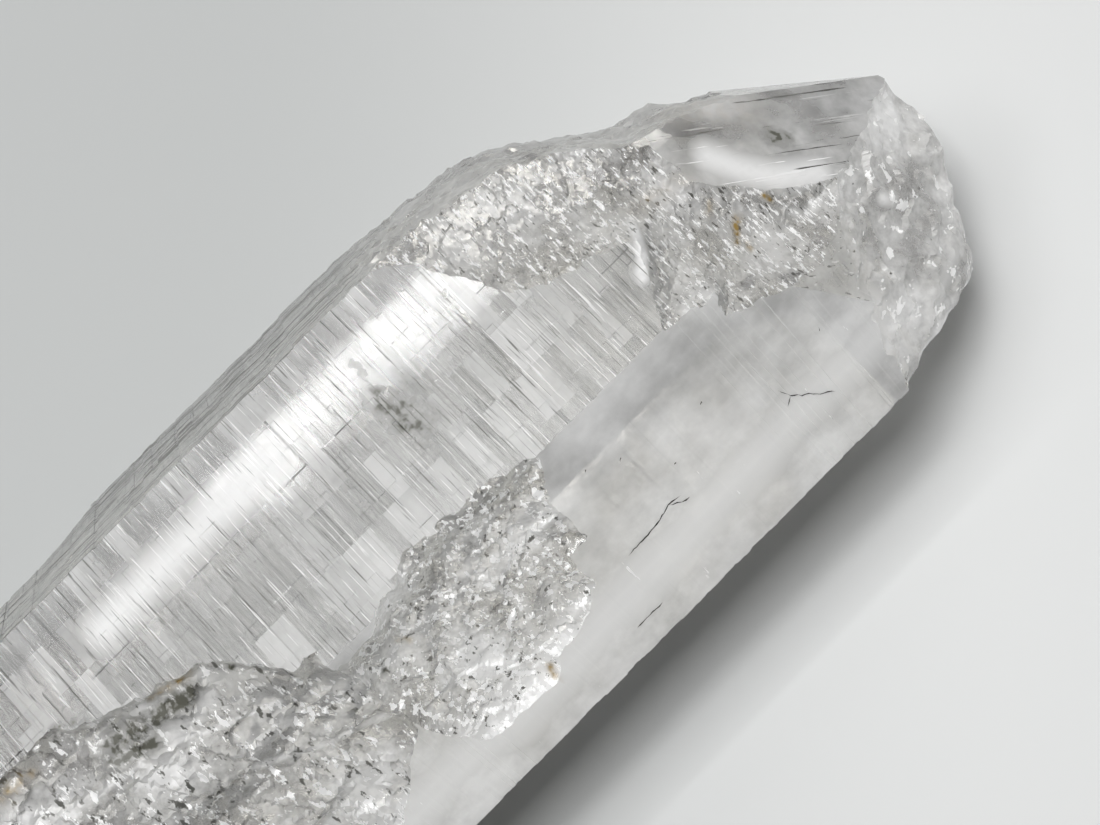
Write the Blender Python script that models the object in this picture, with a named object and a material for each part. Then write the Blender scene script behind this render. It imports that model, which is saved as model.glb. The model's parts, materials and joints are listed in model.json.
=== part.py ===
"""Quartz crystal point with broken edges, lying on one of its prism faces.

One closed solid.  The crystal's length runs along X with the point at +X, and
the origin is on the floor under the middle of the bounding box.  Sizes are in
millimetres here and become metres when the mesh is written.
"""
from dataclasses import dataclass
import math
from typing import Callable

import bmesh
import bpy
import numpy as np
from mathutils import Vector

MM = 0.001

# ---------------------------------------------------------------- flat faces
# Each face is a plane: (turn, lean, distance from CENTRE).  The turn goes
# round the length from the front (-Y) up over the top, and the lean tips the
# face towards the point.  The six prism faces of quartz meet at 60 degrees
# and its point faces lean by 38.2 degrees.
CENTRE = np.array([0.0, 0.0, 19.9])
POINT_LEAN = 38.2
FACES = {
    "top": (90, 0.0, 19.9),
    "front": (30, 0.0, 18.67),
    "front_under": (-30, 0.0, 21.03),
    "bottom": (-90, 0.0, 19.9),
    "back_under": (-150, 0.0, 19.78),
    "back": (150, 0.0, 19.93),
    "point_top": (90, POINT_LEAN, 44.52),
    "point_back": (150, POINT_LEAN, 44.32),
    "point_back_under": (-150, POINT_LEAN, 45.32),
    "point_bottom": (-90, POINT_LEAN, 49.6),
    "end_side": (30, 29.3, 44.4),
    "point_rib": (60, 42.2, 49.6),
    "end_front": (-3, 65.2, 71.4),
    "end_back": (-143, 65.1, 66.6),
    "base": (0, -90.0, 75.6),
}
PRISM = ("top", "front", "front_under", "bottom", "back_under", "back")

# ----------------------------------------------- growth steps on prism faces
STEPS_START = -80.0
STEPS_END = 60.0
SHORTEST_STEP = 0.9
LONGEST_STEP = 2.7
# Length of the little riser between one step and the next.
STEP_RISER = 0.12
# How often a step carries on at the level of the one before it.
STEP_CHANGES = 0.75
# Greatest depth of the steps on each prism face.
STEP_DEPTH = {"top": 0.16, "front": 0.07, "front_under": 0.14,
              "bottom": 0.10, "back_under": 0.14, "back": 0.12}
# The top face grew in strips side by side; these lines part them.
STRIP_LINES = (-3.1, 3.4)
# The front face is nearly smooth between these two places along the length.
FRONT_SMOOTH = (10.0, 44.0)
FRONT_SMOOTH_SHARE = 0.15
# The bottom face keeps its full height outside these bands along the length.
BOTTOM_BANDS = ((-58.0, -36.0), (18.0, 34.0))

# ------------------------------------------------------------ broken places
# Outlines are (along, across) in the plane that the break faces.
EDGE_OUTLINE = ((29.0, 24.0), (30.0, 19.8), (32.7, 17.9), (34.0, 15.0), (36.4, 11.2),
                (39.2, 9.5), (45.7, 8.0), (46.7, 7.2), (44.2, 3.1), (43.1, 1.0),
                (47.7, -0.2), (47.2, -2.3), (52.0, -4.1), (56.3, -6.0), (59.6, -5.8),
                (63.2, -3.0), (58.9, 0.1), (56.7, 2.7), (54.0, 6.5), (53.3, 10.6),
                (51.1, 13.0), (50.0, 24.0))
CHIP_OUTLINE = ((29.0, 1.1), (25.2, 2.1), (20.4, 2.8), (15.4, 2.9), (13.6, 2.0),
                (10.2, 1.7), (8.5, 0.2), (4.7, 0.2), (4.2, -6.0), (5.6, -10.3),
                (8.6, -15.8), (13.7, -16.0), (16.0, -16.3), (17.6, -14.7),
                (22.1, -13.5), (24.2, -11.8), (24.5, -8.3), (26.7, -7.8), (26.6, -3.0))
LEDGE_OUTLINE = ((6.0, -2.0), (4.7, 0.2), (4.7, 2.4), (2.5, 2.9), (-0.9, 6.5),
                 (-2.9, 8.0), (-9.9, 9.8), (-13.1, 10.9), (-15.5, 12.6), (-21.4, 12.4),
                 (-33.0, 14.8), (-46.0, 17.5), (-60.0, 22.5), (-82.0, 26.0),
                 (-82.0, -27.0), (-13.0, -25.0), (-6.5, -19.5), (-1.7, -15.7),
                 (2.9, -11.3), (5.6, -9.6))
END_OUTLINE = ((57.1, -1.6), (53.1, -0.3), (47.9, 0.9), (43.8, 2.0), (38.4, 1.2),
               (34.3, -1.3), (33.2, -3.3), (32.4, -7.7), (31.9, -12.7), (32.0, -17.0),
               (44.0, -26.0), (66.0, -24.0), (72.0, -1.0), (62.0, 2.6))
BACK_OUTLINE = ((20.0, -16.0), (53.0, -16.0), (57.0, -5.0), (57.0, 5.0), (54.0, 14.0),
                (42.0, 17.0), (20.0, 15.0))
BACK_CHIP_OUTLINE = ((-34.0, 1.0), (-29.0, -4.0), (-19.0, -6.5), (-9.0, -5.0),
                     (-3.0, -1.0), (-6.0, 3.5), (-16.0, 6.0), (-27.0, 5.0))
BASE_OUTLINE = ((-40.0, -35.0), (40.0, -35.0), (40.0, 35.0), (-40.0, 35.0))

# Shell shaped ripples: where their rings centre, their spacing and height.
CHIP_RINGS = (27.0, -14.0, 3.3, 0.22)
BACK_CHIP_RINGS = (-18.0, 9.0, 4.5, 0.18)
# The ledge falls away at this slope, to a floor that drops towards the base.
LEDGE_SLOPE = 0.26
LEDGE_FLOOR = 3.2
LEDGE_FLOOR_START = 8.0
LEDGE_FLOOR_DROP = 0.055
# Set back of the back face: places along it, and the depth at each.
BACK_PLACES = (20.0, 28.0, 34.0, 38.0, 46.0, 48.5, 51.5, 56.5)
BACK_DEPTHS = (0.0, 0.7, 1.7, 2.9, 2.7, 1.9, 0.75, 0.0)
# The base break leans across the crystal and up it.
BASE_LEAN_ACROSS = -0.08
BASE_LEAN_UP = 0.16

CUTTER_MARGIN = 2.0
CUTTER_HEADROOM = 6.0
CUTTER_RISE = 0.7
CUTTER_GAP = 0.15
GRAIN_JITTER = 0.5
# Faces turned further away than this from a break play no part in it.
SMALLEST_TURN = 0.12
SHARP_EDGE = 0.02
SHORTEST_EDGE = 0.02
# Roughness and set back grow from nothing over these distances from an edge.
ROUGH_SETTLE = 1.4
SET_BACK_SETTLE = 1.2
ROUNDING_SLOPE = 0.8
# Seeds of the jitter along and across, and of the way each square is split.
ALONG_SEED = 81
ACROSS_SEED = 82
SPLIT_SEED = 83
BLOCK_SIZE = 400.0
CUT_TOLERANCE = 1e-5
PLANE_TOLERANCE = 1e-3
SAME_WAY = 0.99
FAR = 1e9


# ------------------------------------------------------------------ numbers
def hashed(i, j, seed):
    """Repeatable value from 0 to 1 for whole numbers i and j."""
    i = np.asarray(i, dtype=np.int64)
    j = np.asarray(j, dtype=np.int64)
    n = (i * 374761393 + j * 668265263 + seed * 974634777) & 0xFFFFFFFF
    n = ((n ^ (n >> 13)) * 1274126177) & 0xFFFFFFFF
    return ((n ^ (n >> 16)) & 0xFFFF) / 65535.0


def lumps(u, v, size, seed):
    """Smooth bumps from -1 to 1, about `size` across."""
    u = u / size
    v = v / size
    i = np.floor(u)
    j = np.floor(v)
    fu = u - i
    fv = v - j
    fu = fu * fu * (3.0 - 2.0 * fu)
    fv = fv * fv * (3.0 - 2.0 * fv)
    low = hashed(i, j, seed) * (1.0 - fu) + hashed(i + 1, j, seed) * fu
    high = hashed(i, j + 1, seed) * (1.0 - fu) + hashed(i + 1, j + 1, seed) * fu
    return 2.0 * (low * (1.0 - fv) + high * fv) - 1.0


def flakes(u, v, size_u, size_v, seed):
    """Small flat facets, each tilted its own way, from about -1 to 1."""
    u = u / size_u
    v = v / size_v
    nearest = np.full(u.shape, FAR)
    height = np.zeros(u.shape)
    for step_u in (-1, 0, 1):
        for step_v in (-1, 0, 1):
            i = np.floor(u) + step_u
            j = np.floor(v) + step_v
            du = u - i - hashed(i, j, seed)
            dv = v - j - hashed(i, j, seed + 1)
            tilt_u = hashed(i, j, seed + 2) - 0.5
            tilt_v = hashed(i, j, seed + 3) - 0.5
            lift = hashed(i, j, seed + 4) - 0.5
            apart = du * du + dv * dv
            closer = apart < nearest
            nearest = np.where(closer, apart, nearest)
            height = np.where(closer, 2.0 * (tilt_u * du + tilt_v * dv) + lift, height)
    return height


def inside_distance(u, v, outline):
    """Distance to the outline, positive inside it and negative outside."""
    nearest = np.full(u.shape, FAR)
    inside = np.zeros(u.shape, dtype=bool)
    for (u0, v0), (u1, v1) in zip(outline, outline[1:] + outline[:1]):
        du = u1 - u0
        dv = v1 - v0
        part = np.clip(((u - u0) * du + (v - v0) * dv) / (du * du + dv * dv), 0.0, 1.0)
        nearest = np.minimum(nearest, np.hypot(u - u0 - part * du, v - v0 - part * dv))
        if v0 != v1:
            crosses = (v0 > v) != (v1 > v)
            inside ^= crosses & (u < u0 + (v - v0) * du / dv)
    return np.where(inside, nearest, -nearest)


# ------------------------------------------------------------------- planes
def facing(turn, lean):
    """Unit vector that a face with this turn and lean points along."""
    turn = math.radians(turn)
    lean = math.radians(lean)
    return np.array([math.sin(lean), -math.cos(turn) * math.cos(lean),
                     math.sin(turn) * math.cos(lean)])


def frame_of(turn, lean):
    """Along, across and outward directions of the plane facing this way."""
    out = facing(turn, lean)
    start = np.array([0.0, 1.0, 0.0]) if abs(out[0]) > SAME_WAY else np.array([1.0, 0.0, 0.0])
    along = start - out * start.dot(out)
    along /= np.linalg.norm(along)
    return along, np.cross(out, along), out


PLANES = {name: (facing(turn, lean), distance)
          for name, (turn, lean, distance) in FACES.items()}


def unbroken_height(u, v, frame, roundness, names):
    """Height of the named faces over each point of a frame's plane, with the
    edges between them rounded over by `roundness`."""
    along, across, out = frame
    heights = []
    for name in names:
        normal, distance = PLANES[name]
        if normal.dot(out) > SMALLEST_TURN:
            sideways = u * normal.dot(along) + v * normal.dot(across)
            heights.append((distance - sideways) / normal.dot(out))
    heights = np.array(heights)
    lowest = heights.min(axis=0)
    spread = np.exp((lowest - heights) / roundness).sum(axis=0)
    return lowest - roundness * np.log(spread)


# --------------------------------------------------------- whole crystal mesh
def whole_crystal():
    """Crystal cut flat on every face, before its steps and breaks."""
    bm = bmesh.new()
    bmesh.ops.create_cube(bm, size=BLOCK_SIZE)
    for normal, distance in PLANES.values():
        cut = bmesh.ops.bisect_plane(
            bm, geom=bm.verts[:] + bm.edges[:] + bm.faces[:], dist=CUT_TOLERANCE,
            plane_co=Vector(normal * distance), plane_no=Vector(normal), clear_outer=True)
        rim = [item for item in cut["geom_cut"] if isinstance(item, bmesh.types.BMEdge)]
        bmesh.ops.edgeloop_fill(bm, edges=rim)
    return bm


def on_face(bm, name):
    """Mesh faces that lie on the named crystal face."""
    normal, distance = PLANES[name]
    found = []
    for face in bm.faces:
        middle = np.array(face.calc_center_median())
        if (abs(normal.dot(middle) - distance) < PLANE_TOLERANCE
                and normal.dot(np.array(face.normal)) > SAME_WAY):
            found.append(face)
    return found


def slice_faces(bm, faces, point, normal):
    """Cut new edges across some faces where a plane passes through them."""
    geometry = set(faces)
    for face in faces:
        geometry.update(face.edges)
        geometry.update(face.verts)
    bmesh.ops.bisect_plane(bm, geom=list(geometry), dist=CUT_TOLERANCE, plane_co=point, plane_no=normal)


def step_places():
    """Positions along the length where growth steps fall."""
    places = []
    x = STEPS_START
    while x < STEPS_END:
        places.append(x)
        share = float(hashed(len(places), 7, 1))
        x += SHORTEST_STEP + (LONGEST_STEP - SHORTEST_STEP) * share
    return places


def step_height(name, x, across, places):
    """Height of the growth steps on a prism face, zero or below."""
    row = int(np.searchsorted(places, x))
    strip = int(np.searchsorted(STRIP_LINES, across)) if name == "top" else 0
    seed = 11 + list(PRISM).index(name)
    level = math.floor(STEP_CHANGES * row + float(hashed(strip, 3, seed)))
    height = -STEP_DEPTH[name] * float(hashed(level, strip, seed))
    if name == "front" and FRONT_SMOOTH[0] < x < FRONT_SMOOTH[1]:
        height *= FRONT_SMOOTH_SHARE
    if name == "bottom" and not any(start < x < end for start, end in BOTTOM_BANDS):
        height = 0.0
    return height


def cut_growth_steps(bm):
    """Slice the prism faces into rows and sink each row to its own level."""
    places = step_places()
    prism = [face for name in PRISM for face in on_face(bm, name)]
    for x in places:
        for edge in (x - 0.5 * STEP_RISER, x + 0.5 * STEP_RISER):
            slice_faces(bm, prism, Vector((edge, 0.0, 0.0)), Vector((1.0, 0.0, 0.0)))
            prism = [face for name in PRISM for face in on_face(bm, name)]
    across = frame_of(*FACES["top"][:2])[1]
    for line in STRIP_LINES:
        for edge in (line - 0.5 * STEP_RISER, line + 0.5 * STEP_RISER):
            slice_faces(bm, on_face(bm, "top"), Vector(across * edge), Vector(across))
    normals = np.array([normal for normal, distance in PLANES.values()])
    distances = np.array([distance for normal, distance in PLANES.values()])
    names = list(PLANES)
    for vert in bm.verts:
        place = np.array(vert.co)
        touching = np.flatnonzero(np.abs(normals @ place - distances) < PLANE_TOLERANCE)
        rise = np.zeros(len(touching))
        for k, index in enumerate(touching):
            if names[index] in PRISM:
                side = frame_of(*FACES[names[index]][:2])[1].dot(place)
                rise[k] = step_height(names[index], place[0], side, places)
        if rise.any():
            move = np.linalg.lstsq(normals[touching], rise, rcond=None)[0]
            vert.co += Vector(move)


# ------------------------------------------------------------------- breaks
@dataclass
class Break:
    """A broken surface, and how rough it is."""
    name: str
    facing: tuple          # (turn, lean) of the plane that it faces
    outline: tuple         # its edge in that plane
    grain: float           # spacing of the points of its surface
    follows: tuple         # crystal faces that its depth is measured from
    rounding: float        # how far it rounds over the edges between them
    sink: float            # depth that it soon reaches inside its edge
    ease: float            # how far in from its edge it takes to sink
    flake: tuple           # size along, size across and height of its flakes
    lump: tuple            # size and height of its lumps
    seed: int
    extra: Callable = None  # depth of its own shape, from (inset, along, across)

    def depth(self, inset, u, v):
        """Depth below the whole crystal, this far inside the edge."""
        flake_u, flake_v, flake_height = self.flake
        lump_size, lump_height = self.lump
        rough = flake_height * flakes(u, v, flake_u, flake_v, self.seed)
        rough = rough + lump_height * lumps(u, v, lump_size, self.seed + 7)
        depth = self.sink * (1.0 - np.exp(-inset / self.ease))
        depth = depth + np.clip(inset / ROUGH_SETTLE, 0.0, 1.0) * rough
        if self.extra:
            depth = depth + self.extra(inset, u, v)
        return depth


def rings(inset, u, v, settings):
    """Shell shaped ripples round a centre."""
    centre_u, centre_v, spacing, height = settings
    distance = np.hypot(u - centre_u, v - centre_v)
    settled = np.clip(inset / ROUGH_SETTLE, 0.0, 1.0)
    return height * settled * np.sin(distance * 2.0 * math.pi / spacing)


def chip_rings(inset, u, v):
    """Ripples across the scoop in the front edge."""
    return rings(inset, u, v, CHIP_RINGS)


def back_chip_rings(inset, u, v):
    """Ripples across the chip in the back edge."""
    return rings(inset, u, v, BACK_CHIP_RINGS)


def ledge_fall(inset, u, v):
    """Ground below the ledge's cliff, falling away to the base."""
    floor = LEDGE_FLOOR + LEDGE_FLOOR_DROP * np.clip(LEDGE_FLOOR_START - u, 0.0, None)
    return np.minimum(LEDGE_SLOPE * inset, floor)


def back_set(inset, u, v):
    """Set back part of the back face, which ends in a step near the point."""
    return np.clip(inset / SET_BACK_SETTLE, 0.0, 1.0) * np.interp(u, BACK_PLACES, BACK_DEPTHS)


def base_lean(inset, u, v):
    """Slope of the broken base, deepest at the top and the front."""
    return BASE_LEAN_ACROSS * u - BASE_LEAN_UP * v


BREAKS = (
    Break("edge_break", (60, 0.0), EDGE_OUTLINE, 1.15,
          ("top", "front", "point_top", "end_side", "point_rib"), 1.6, 2.9, 2.6,
          (2.6, 4.2, 0.45), (6.0, 0.35), 21),
    Break("back_break", (150, 19.0), BACK_OUTLINE, 1.8,
          ("back", "point_back", "back_under", "point_back_under"), 0.6, 0.05, 1.0,
          (4.0, 4.0, 0.3), (5.0, 0.12), 61, back_set),
    Break("chip", (60, 0.0), CHIP_OUTLINE, 1.05,
          ("top", "front"), 2.5, 2.4, 2.0,
          (3.4, 2.6, 0.5), (7.0, 0.5), 32, chip_rings),
    Break("ledge", (60, 0.0), LEDGE_OUTLINE, 1.7,
          ("top", "front"), 3.0, 1.5, 0.7,
          (5.0, 3.2, 0.75), (9.0, 0.5), 41, ledge_fall),
    Break("end_break", (30, POINT_LEAN), END_OUTLINE, 1.4,
          ("front", "front_under", "end_side", "point_rib", "end_front"), 1.2, 1.0, 1.0,
          (3.2, 2.4, 0.35), (4.2, 0.6), 51),
    Break("back_chip", (180, 0.0), BACK_CHIP_OUTLINE, 1.8,
          ("back", "back_under"), 1.5, 1.7, 2.2,
          (4.0, 4.0, 0.1), (6.0, 0.1), 55, back_chip_rings),
    Break("base_break", (0, -90.0), BASE_OUTLINE, 2.4,
          ("base",), 0.3, 5.5, 0.5,
          (9.0, 7.0, 1.3), (15.0, 1.6), 71, base_lean),
)


def break_cutter(broken):
    """Closed solid whose rough underside is the broken surface to leave."""
    frame = frame_of(*broken.facing)
    corners = np.array(broken.outline)
    low = corners.min(axis=0) - CUTTER_MARGIN
    high = corners.max(axis=0) + CUTTER_MARGIN
    count_u, count_v = (int(n) for n in np.ceil((high - low) / broken.grain) + 1)
    u, v = np.meshgrid(np.linspace(low[0], high[0], count_u),
                       np.linspace(low[1], high[1], count_v), indexing="ij")
    i, j = np.meshgrid(np.arange(count_u), np.arange(count_v), indexing="ij")
    inner = (i > 0) & (i < count_u - 1) & (j > 0) & (j < count_v - 1)
    jitter = inner * GRAIN_JITTER * broken.grain
    u = u + jitter * (hashed(i, j, ALONG_SEED) - 0.5)
    v = v + jitter * (hashed(i, j, ACROSS_SEED) - 0.5)

    inset = inside_distance(u, v, broken.outline)
    sunk = np.clip(inset, 0.0, None)
    rounding = np.clip(ROUNDING_SLOPE * sunk, SHARP_EDGE, broken.rounding)
    floor = unbroken_height(u, v, frame, rounding, broken.follows)
    floor = floor - broken.depth(sunk, u, v)
    above = unbroken_height(u, v, frame, SHARP_EDGE, FACES) + CUTTER_GAP - CUTTER_RISE * inset
    height = np.where(inset > 0.0, floor, above)

    along, across, out = frame
    flat = u[..., None] * along + v[..., None] * across
    lower = flat + height[..., None] * out
    upper = flat + (height.max() + CUTTER_HEADROOM) * out
    bm = bmesh.new()
    bottom = [[bm.verts.new(lower[a, b]) for b in range(count_v)] for a in range(count_u)]
    for a in range(count_u - 1):
        for b in range(count_v - 1):
            p, q = bottom[a][b], bottom[a + 1][b]
            r, t = bottom[a + 1][b + 1], bottom[a][b + 1]
            if hashed(a, b, SPLIT_SEED) > 0.5:
                triangles = ((p, r, q), (p, t, r))
            else:
                triangles = ((p, t, q), (q, t, r))
            for triangle in triangles:
                bm.faces.new(triangle)
    rim = ([(a, 0) for a in range(count_u)]
           + [(count_u - 1, b) for b in range(1, count_v)]
           + [(a, count_v - 1) for a in range(count_u - 2, -1, -1)]
           + [(0, b) for b in range(count_v - 2, 0, -1)])
    roof = [bm.verts.new(upper[a, b]) for a, b in rim]
    bm.faces.new(roof)
    for k, (a, b) in enumerate(rim):
        following = (k + 1) % len(rim)
        c, d = rim[following]
        bm.faces.new((bottom[a][b], bottom[c][d], roof[following], roof[k]))
    bmesh.ops.recalc_face_normals(bm, faces=bm.faces[:])
    return mesh_object(broken.name, bm)


# ------------------------------------------------------------------ assembly
def mesh_object(name, bm):
    """Put a finished bmesh into the scene as an object."""
    mesh = bpy.data.meshes.new(name)
    bm.to_mesh(mesh)
    bm.free()
    item = bpy.data.objects.new(name, mesh)
    bpy.context.scene.collection.objects.link(item)
    return item


def subtract(target, cutter):
    """Cut one solid out of another and remove the cutter."""
    modifier = target.modifiers.new("break", "BOOLEAN")
    modifier.operation = "DIFFERENCE"
    modifier.solver = "EXACT"
    modifier.object = cutter
    graph = bpy.context.evaluated_depsgraph_get()
    result = bpy.data.meshes.new_from_object(target.evaluated_get(graph))
    target.modifiers.clear()
    old = target.data
    target.data = result
    bpy.data.meshes.remove(old)
    bpy.data.objects.remove(cutter)


def keep_largest_piece(bm):
    """Drop any crumbs that the breaks cut loose."""
    left = set(bm.verts)
    pieces = []
    while left:
        reached = {left.pop()}
        edge_of_piece = list(reached)
        while edge_of_piece:
            vert = edge_of_piece.pop()
            for edge in vert.link_edges:
                other = edge.other_vert(vert)
                if other not in reached:
                    reached.add(other)
                    edge_of_piece.append(other)
        left -= reached
        pieces.append(reached)
    pieces.sort(key=len)
    for piece in pieces[:-1]:
        bmesh.ops.delete(bm, geom=list(piece), context="VERTS")


def quartz_material():
    """Clear, almost colourless quartz."""
    material = bpy.data.materials.new("quartz")
    material.use_nodes = True
    shader = material.node_tree.nodes["Principled BSDF"]
    shader.inputs["Base Color"].default_value = (0.86, 0.87, 0.86, 1.0)
    shader.inputs["Roughness"].default_value = 0.05
    shader.inputs["IOR"].default_value = 1.544
    shader.inputs["Transmission Weight"].default_value = 1.0
    return material


def build_crystal():
    """Whole crystal, then its growth steps, then every break in turn."""
    bm = whole_crystal()
    cut_growth_steps(bm)
    crystal = mesh_object("crystal", bm)
    for broken in BREAKS:
        subtract(crystal, break_cutter(broken))
    bm = bmesh.new()
    bm.from_mesh(crystal.data)
    keep_largest_piece(bm)
    bmesh.ops.dissolve_degenerate(bm, dist=SHORTEST_EDGE, edges=bm.edges[:])
    bmesh.ops.triangulate(bm, faces=bm.faces[:])
    for vert in bm.verts:
        vert.co = (vert.co + Vector(CENTRE)) * MM
    bm.to_mesh(crystal.data)
    bm.free()
    crystal.data.materials.clear()
    crystal.data.materials.append(quartz_material())
    return crystal


for leftover in list(bpy.data.objects):
    bpy.data.objects.remove(leftover)
build_crystal()
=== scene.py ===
"""Broken quartz crystal point: its clear body, the marks over it, and a plain stage.

Laid out as a Blender add-on and run as a script.  Sizes are in millimetres
unless a property says otherwise, and every mesh is written in metres.
"""
from dataclasses import dataclass
import json
import math
from typing import Callable

import bmesh
import bpy
from mathutils import Matrix, Vector
import numpy as np

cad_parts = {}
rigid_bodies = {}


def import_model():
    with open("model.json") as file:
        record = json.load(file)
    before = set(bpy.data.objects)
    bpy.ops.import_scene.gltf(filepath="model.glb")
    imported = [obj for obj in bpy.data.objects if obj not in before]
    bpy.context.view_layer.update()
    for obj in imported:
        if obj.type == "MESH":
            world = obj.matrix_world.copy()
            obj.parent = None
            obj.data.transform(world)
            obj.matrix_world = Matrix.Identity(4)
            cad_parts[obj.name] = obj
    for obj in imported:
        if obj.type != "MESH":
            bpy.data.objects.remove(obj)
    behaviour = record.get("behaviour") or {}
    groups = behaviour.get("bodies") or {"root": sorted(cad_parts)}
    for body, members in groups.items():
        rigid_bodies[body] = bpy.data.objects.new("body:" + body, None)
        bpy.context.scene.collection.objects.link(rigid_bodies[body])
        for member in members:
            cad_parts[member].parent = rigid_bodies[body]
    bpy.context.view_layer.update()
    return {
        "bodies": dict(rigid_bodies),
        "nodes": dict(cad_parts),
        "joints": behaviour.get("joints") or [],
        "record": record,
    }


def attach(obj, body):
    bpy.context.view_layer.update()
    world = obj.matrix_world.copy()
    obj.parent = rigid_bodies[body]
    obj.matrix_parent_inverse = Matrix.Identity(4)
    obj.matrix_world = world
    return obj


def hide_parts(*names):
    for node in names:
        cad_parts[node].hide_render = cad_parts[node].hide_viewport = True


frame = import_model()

bl_info = {
    "name": "Quartz Crystal",
    "version": (1, 0, 0),
    "blender": (4, 5, 0),
    "location": "3D View > Sidebar > Quartz",
    "description": "Builds a broken clear quartz crystal point and a plain stage",
    "category": "Object",
}

MM = 0.001

# ---------------------------------------------------------------- flat faces
# Each face is a plane: (turn, lean, distance from CENTRE).  The turn goes
# round the length from the front (-Y) up over the top, and the lean tips the
# face towards the point.
CENTRE = np.array([0.0, 0.0, 19.9])
POINT_LEAN = 38.2
FACES = {
    "top": (90, 0.0, 19.9),
    "front": (30, 0.0, 18.67),
    "front_under": (-30, 0.0, 21.03),
    "bottom": (-90, 0.0, 19.9),
    "back_under": (-150, 0.0, 19.78),
    "back": (150, 0.0, 19.93),
    "point_top": (90, POINT_LEAN, 44.52),
    "point_back": (150, POINT_LEAN, 44.32),
    "point_back_under": (-150, POINT_LEAN, 45.32),
    "point_bottom": (-90, POINT_LEAN, 49.6),
    "end_side": (30, 29.3, 44.4),
    "point_rib": (60, 42.2, 49.6),
    "end_front": (-3, 65.2, 71.4),
    "end_back": (-143, 65.1, 66.6),
    "base": (0, -90.0, 75.6),
}
PRISM = ("top", "front", "front_under", "bottom", "back_under", "back")
# Faces that share a look: across the growth, and round the point.
STRIATED = ("top", "front_under", "bottom", "back_under")
POINTED = tuple(name for name in FACES if name.startswith("point"))
GROWN_LOOKS = 4               # the looks smooth, striated, point and back
BLOCK_SIZE = 400.0            # cube that the faces are cut from
CUT_TOLERANCE = 1e-5
PLANE_TOLERANCE = 1e-3
SAME_WAY = 0.99               # two directions closer than this are the same
FAR = 1e9

# ----------------------------------------------- growth steps on prism faces
STEPS_START = -80.0
STEPS_END = 60.0
SHORTEST_STEP = 0.9
LONGEST_STEP = 2.7
STEP_RISER = 0.12
STEP_CHANGES = 0.75           # how many rows out of each one start a new level
STEP_DEPTH = {"top": 0.12, "front": 0.07, "front_under": 0.14,
              "bottom": 0.10, "back_under": 0.14, "back": 0.12}
STRIP_LINES = (-3.1, 3.4)
FRONT_SMOOTH = (10.0, 44.0)
FRONT_SMOOTH_SHARE = 0.15
BOTTOM_BANDS = ((-58.0, -36.0), (18.0, 34.0))

# Fine steps between the main ones, how they tilt, and the strips they run in.
SHORTEST_FINE_STEP = 0.28
LONGEST_FINE_STEP = 0.85
FINE_RISER = 0.05
FINE_DEPTH = 0.080
FINE_CHANGES = 0.8
FINE_TILT = 0.002
CROSS_TILT = 0.0005
CROSS_BLOCK = 7.0
FRONT_FINE_SHARE = 0.7
FRONT_SMOOTH_FINE_SHARE = 0.12
FINE_LINES = (-7.4, -4.1, 0.6, 5.6, 8.2)

# Seeds and counters that keep the draws for the steps apart.
MAIN_PLACES_SEED = 1
FINE_PLACES_SEED = 2
SPACING_DRAW = 7
MAIN_SEED = 11
MAIN_DRAW = 3
FINE_SEED = 31
FINE_DRAW = 5
CROSS_DRAW = 9
TILT_SEED_STEP = 20
CROSS_SEED_STEP = 40

# ------------------------------------------------------------ broken places
# Outlines are (along, across) in the plane that the break faces.
EDGE_OUTLINE = ((29.0, 24.0), (30.0, 19.8), (32.7, 17.9), (34.0, 15.0), (36.4, 11.2),
                (39.2, 9.5), (45.7, 8.0), (46.7, 7.2), (44.2, 3.1), (43.1, 1.0),
                (47.7, -0.2), (47.2, -2.3), (52.0, -4.1), (56.3, -6.0), (59.6, -5.8),
                (63.2, -3.0), (58.9, 0.1), (56.7, 2.7), (54.0, 6.5), (53.3, 10.6),
                (51.1, 13.0), (50.0, 24.0))
CHIP_OUTLINE = ((29.0, 1.1), (25.2, 2.1), (20.4, 2.8), (15.4, 2.9), (13.6, 2.0),
                (10.2, 1.7), (8.5, 0.2), (4.7, 0.2), (4.2, -6.0), (5.6, -10.3),
                (8.6, -15.8), (13.7, -16.0), (16.0, -16.3), (17.6, -14.7),
                (22.1, -13.5), (24.2, -11.8), (24.5, -8.3), (26.7, -7.8), (26.6, -3.0))
LEDGE_OUTLINE = ((6.0, -2.0), (4.7, 0.2), (4.7, 2.4), (2.5, 2.9), (-0.9, 6.5),
                 (-2.9, 8.0), (-9.9, 9.8), (-13.1, 10.9), (-15.5, 12.6), (-21.4, 12.4),
                 (-33.0, 14.8), (-46.0, 17.5), (-60.0, 22.5), (-82.0, 26.0),
                 (-82.0, -27.0), (-13.0, -25.0), (-6.5, -19.5), (-1.7, -15.7),
                 (2.9, -11.3), (5.6, -9.6))
END_OUTLINE = ((57.1, -1.6), (53.1, -0.3), (47.9, 0.9), (43.8, 2.0), (38.4, 1.2),
               (34.3, -1.3), (33.2, -3.3), (32.4, -7.7), (31.9, -12.7), (32.0, -17.0),
               (44.0, -26.0), (66.0, -24.0), (72.0, -1.0), (62.0, 2.6))
BACK_OUTLINE = ((20.0, -16.0), (53.0, -16.0), (57.0, -5.0), (57.0, 5.0), (54.0, 14.0),
                (42.0, 17.0), (20.0, 15.0))
BACK_CHIP_OUTLINE = ((-34.0, 1.0), (-29.0, -4.0), (-19.0, -6.5), (-9.0, -5.0),
                     (-3.0, -1.0), (-6.0, 3.5), (-16.0, 6.0), (-27.0, 5.0))
BASE_OUTLINE = ((-40.0, -35.0), (40.0, -35.0), (40.0, 35.0), (-40.0, 35.0))

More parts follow.
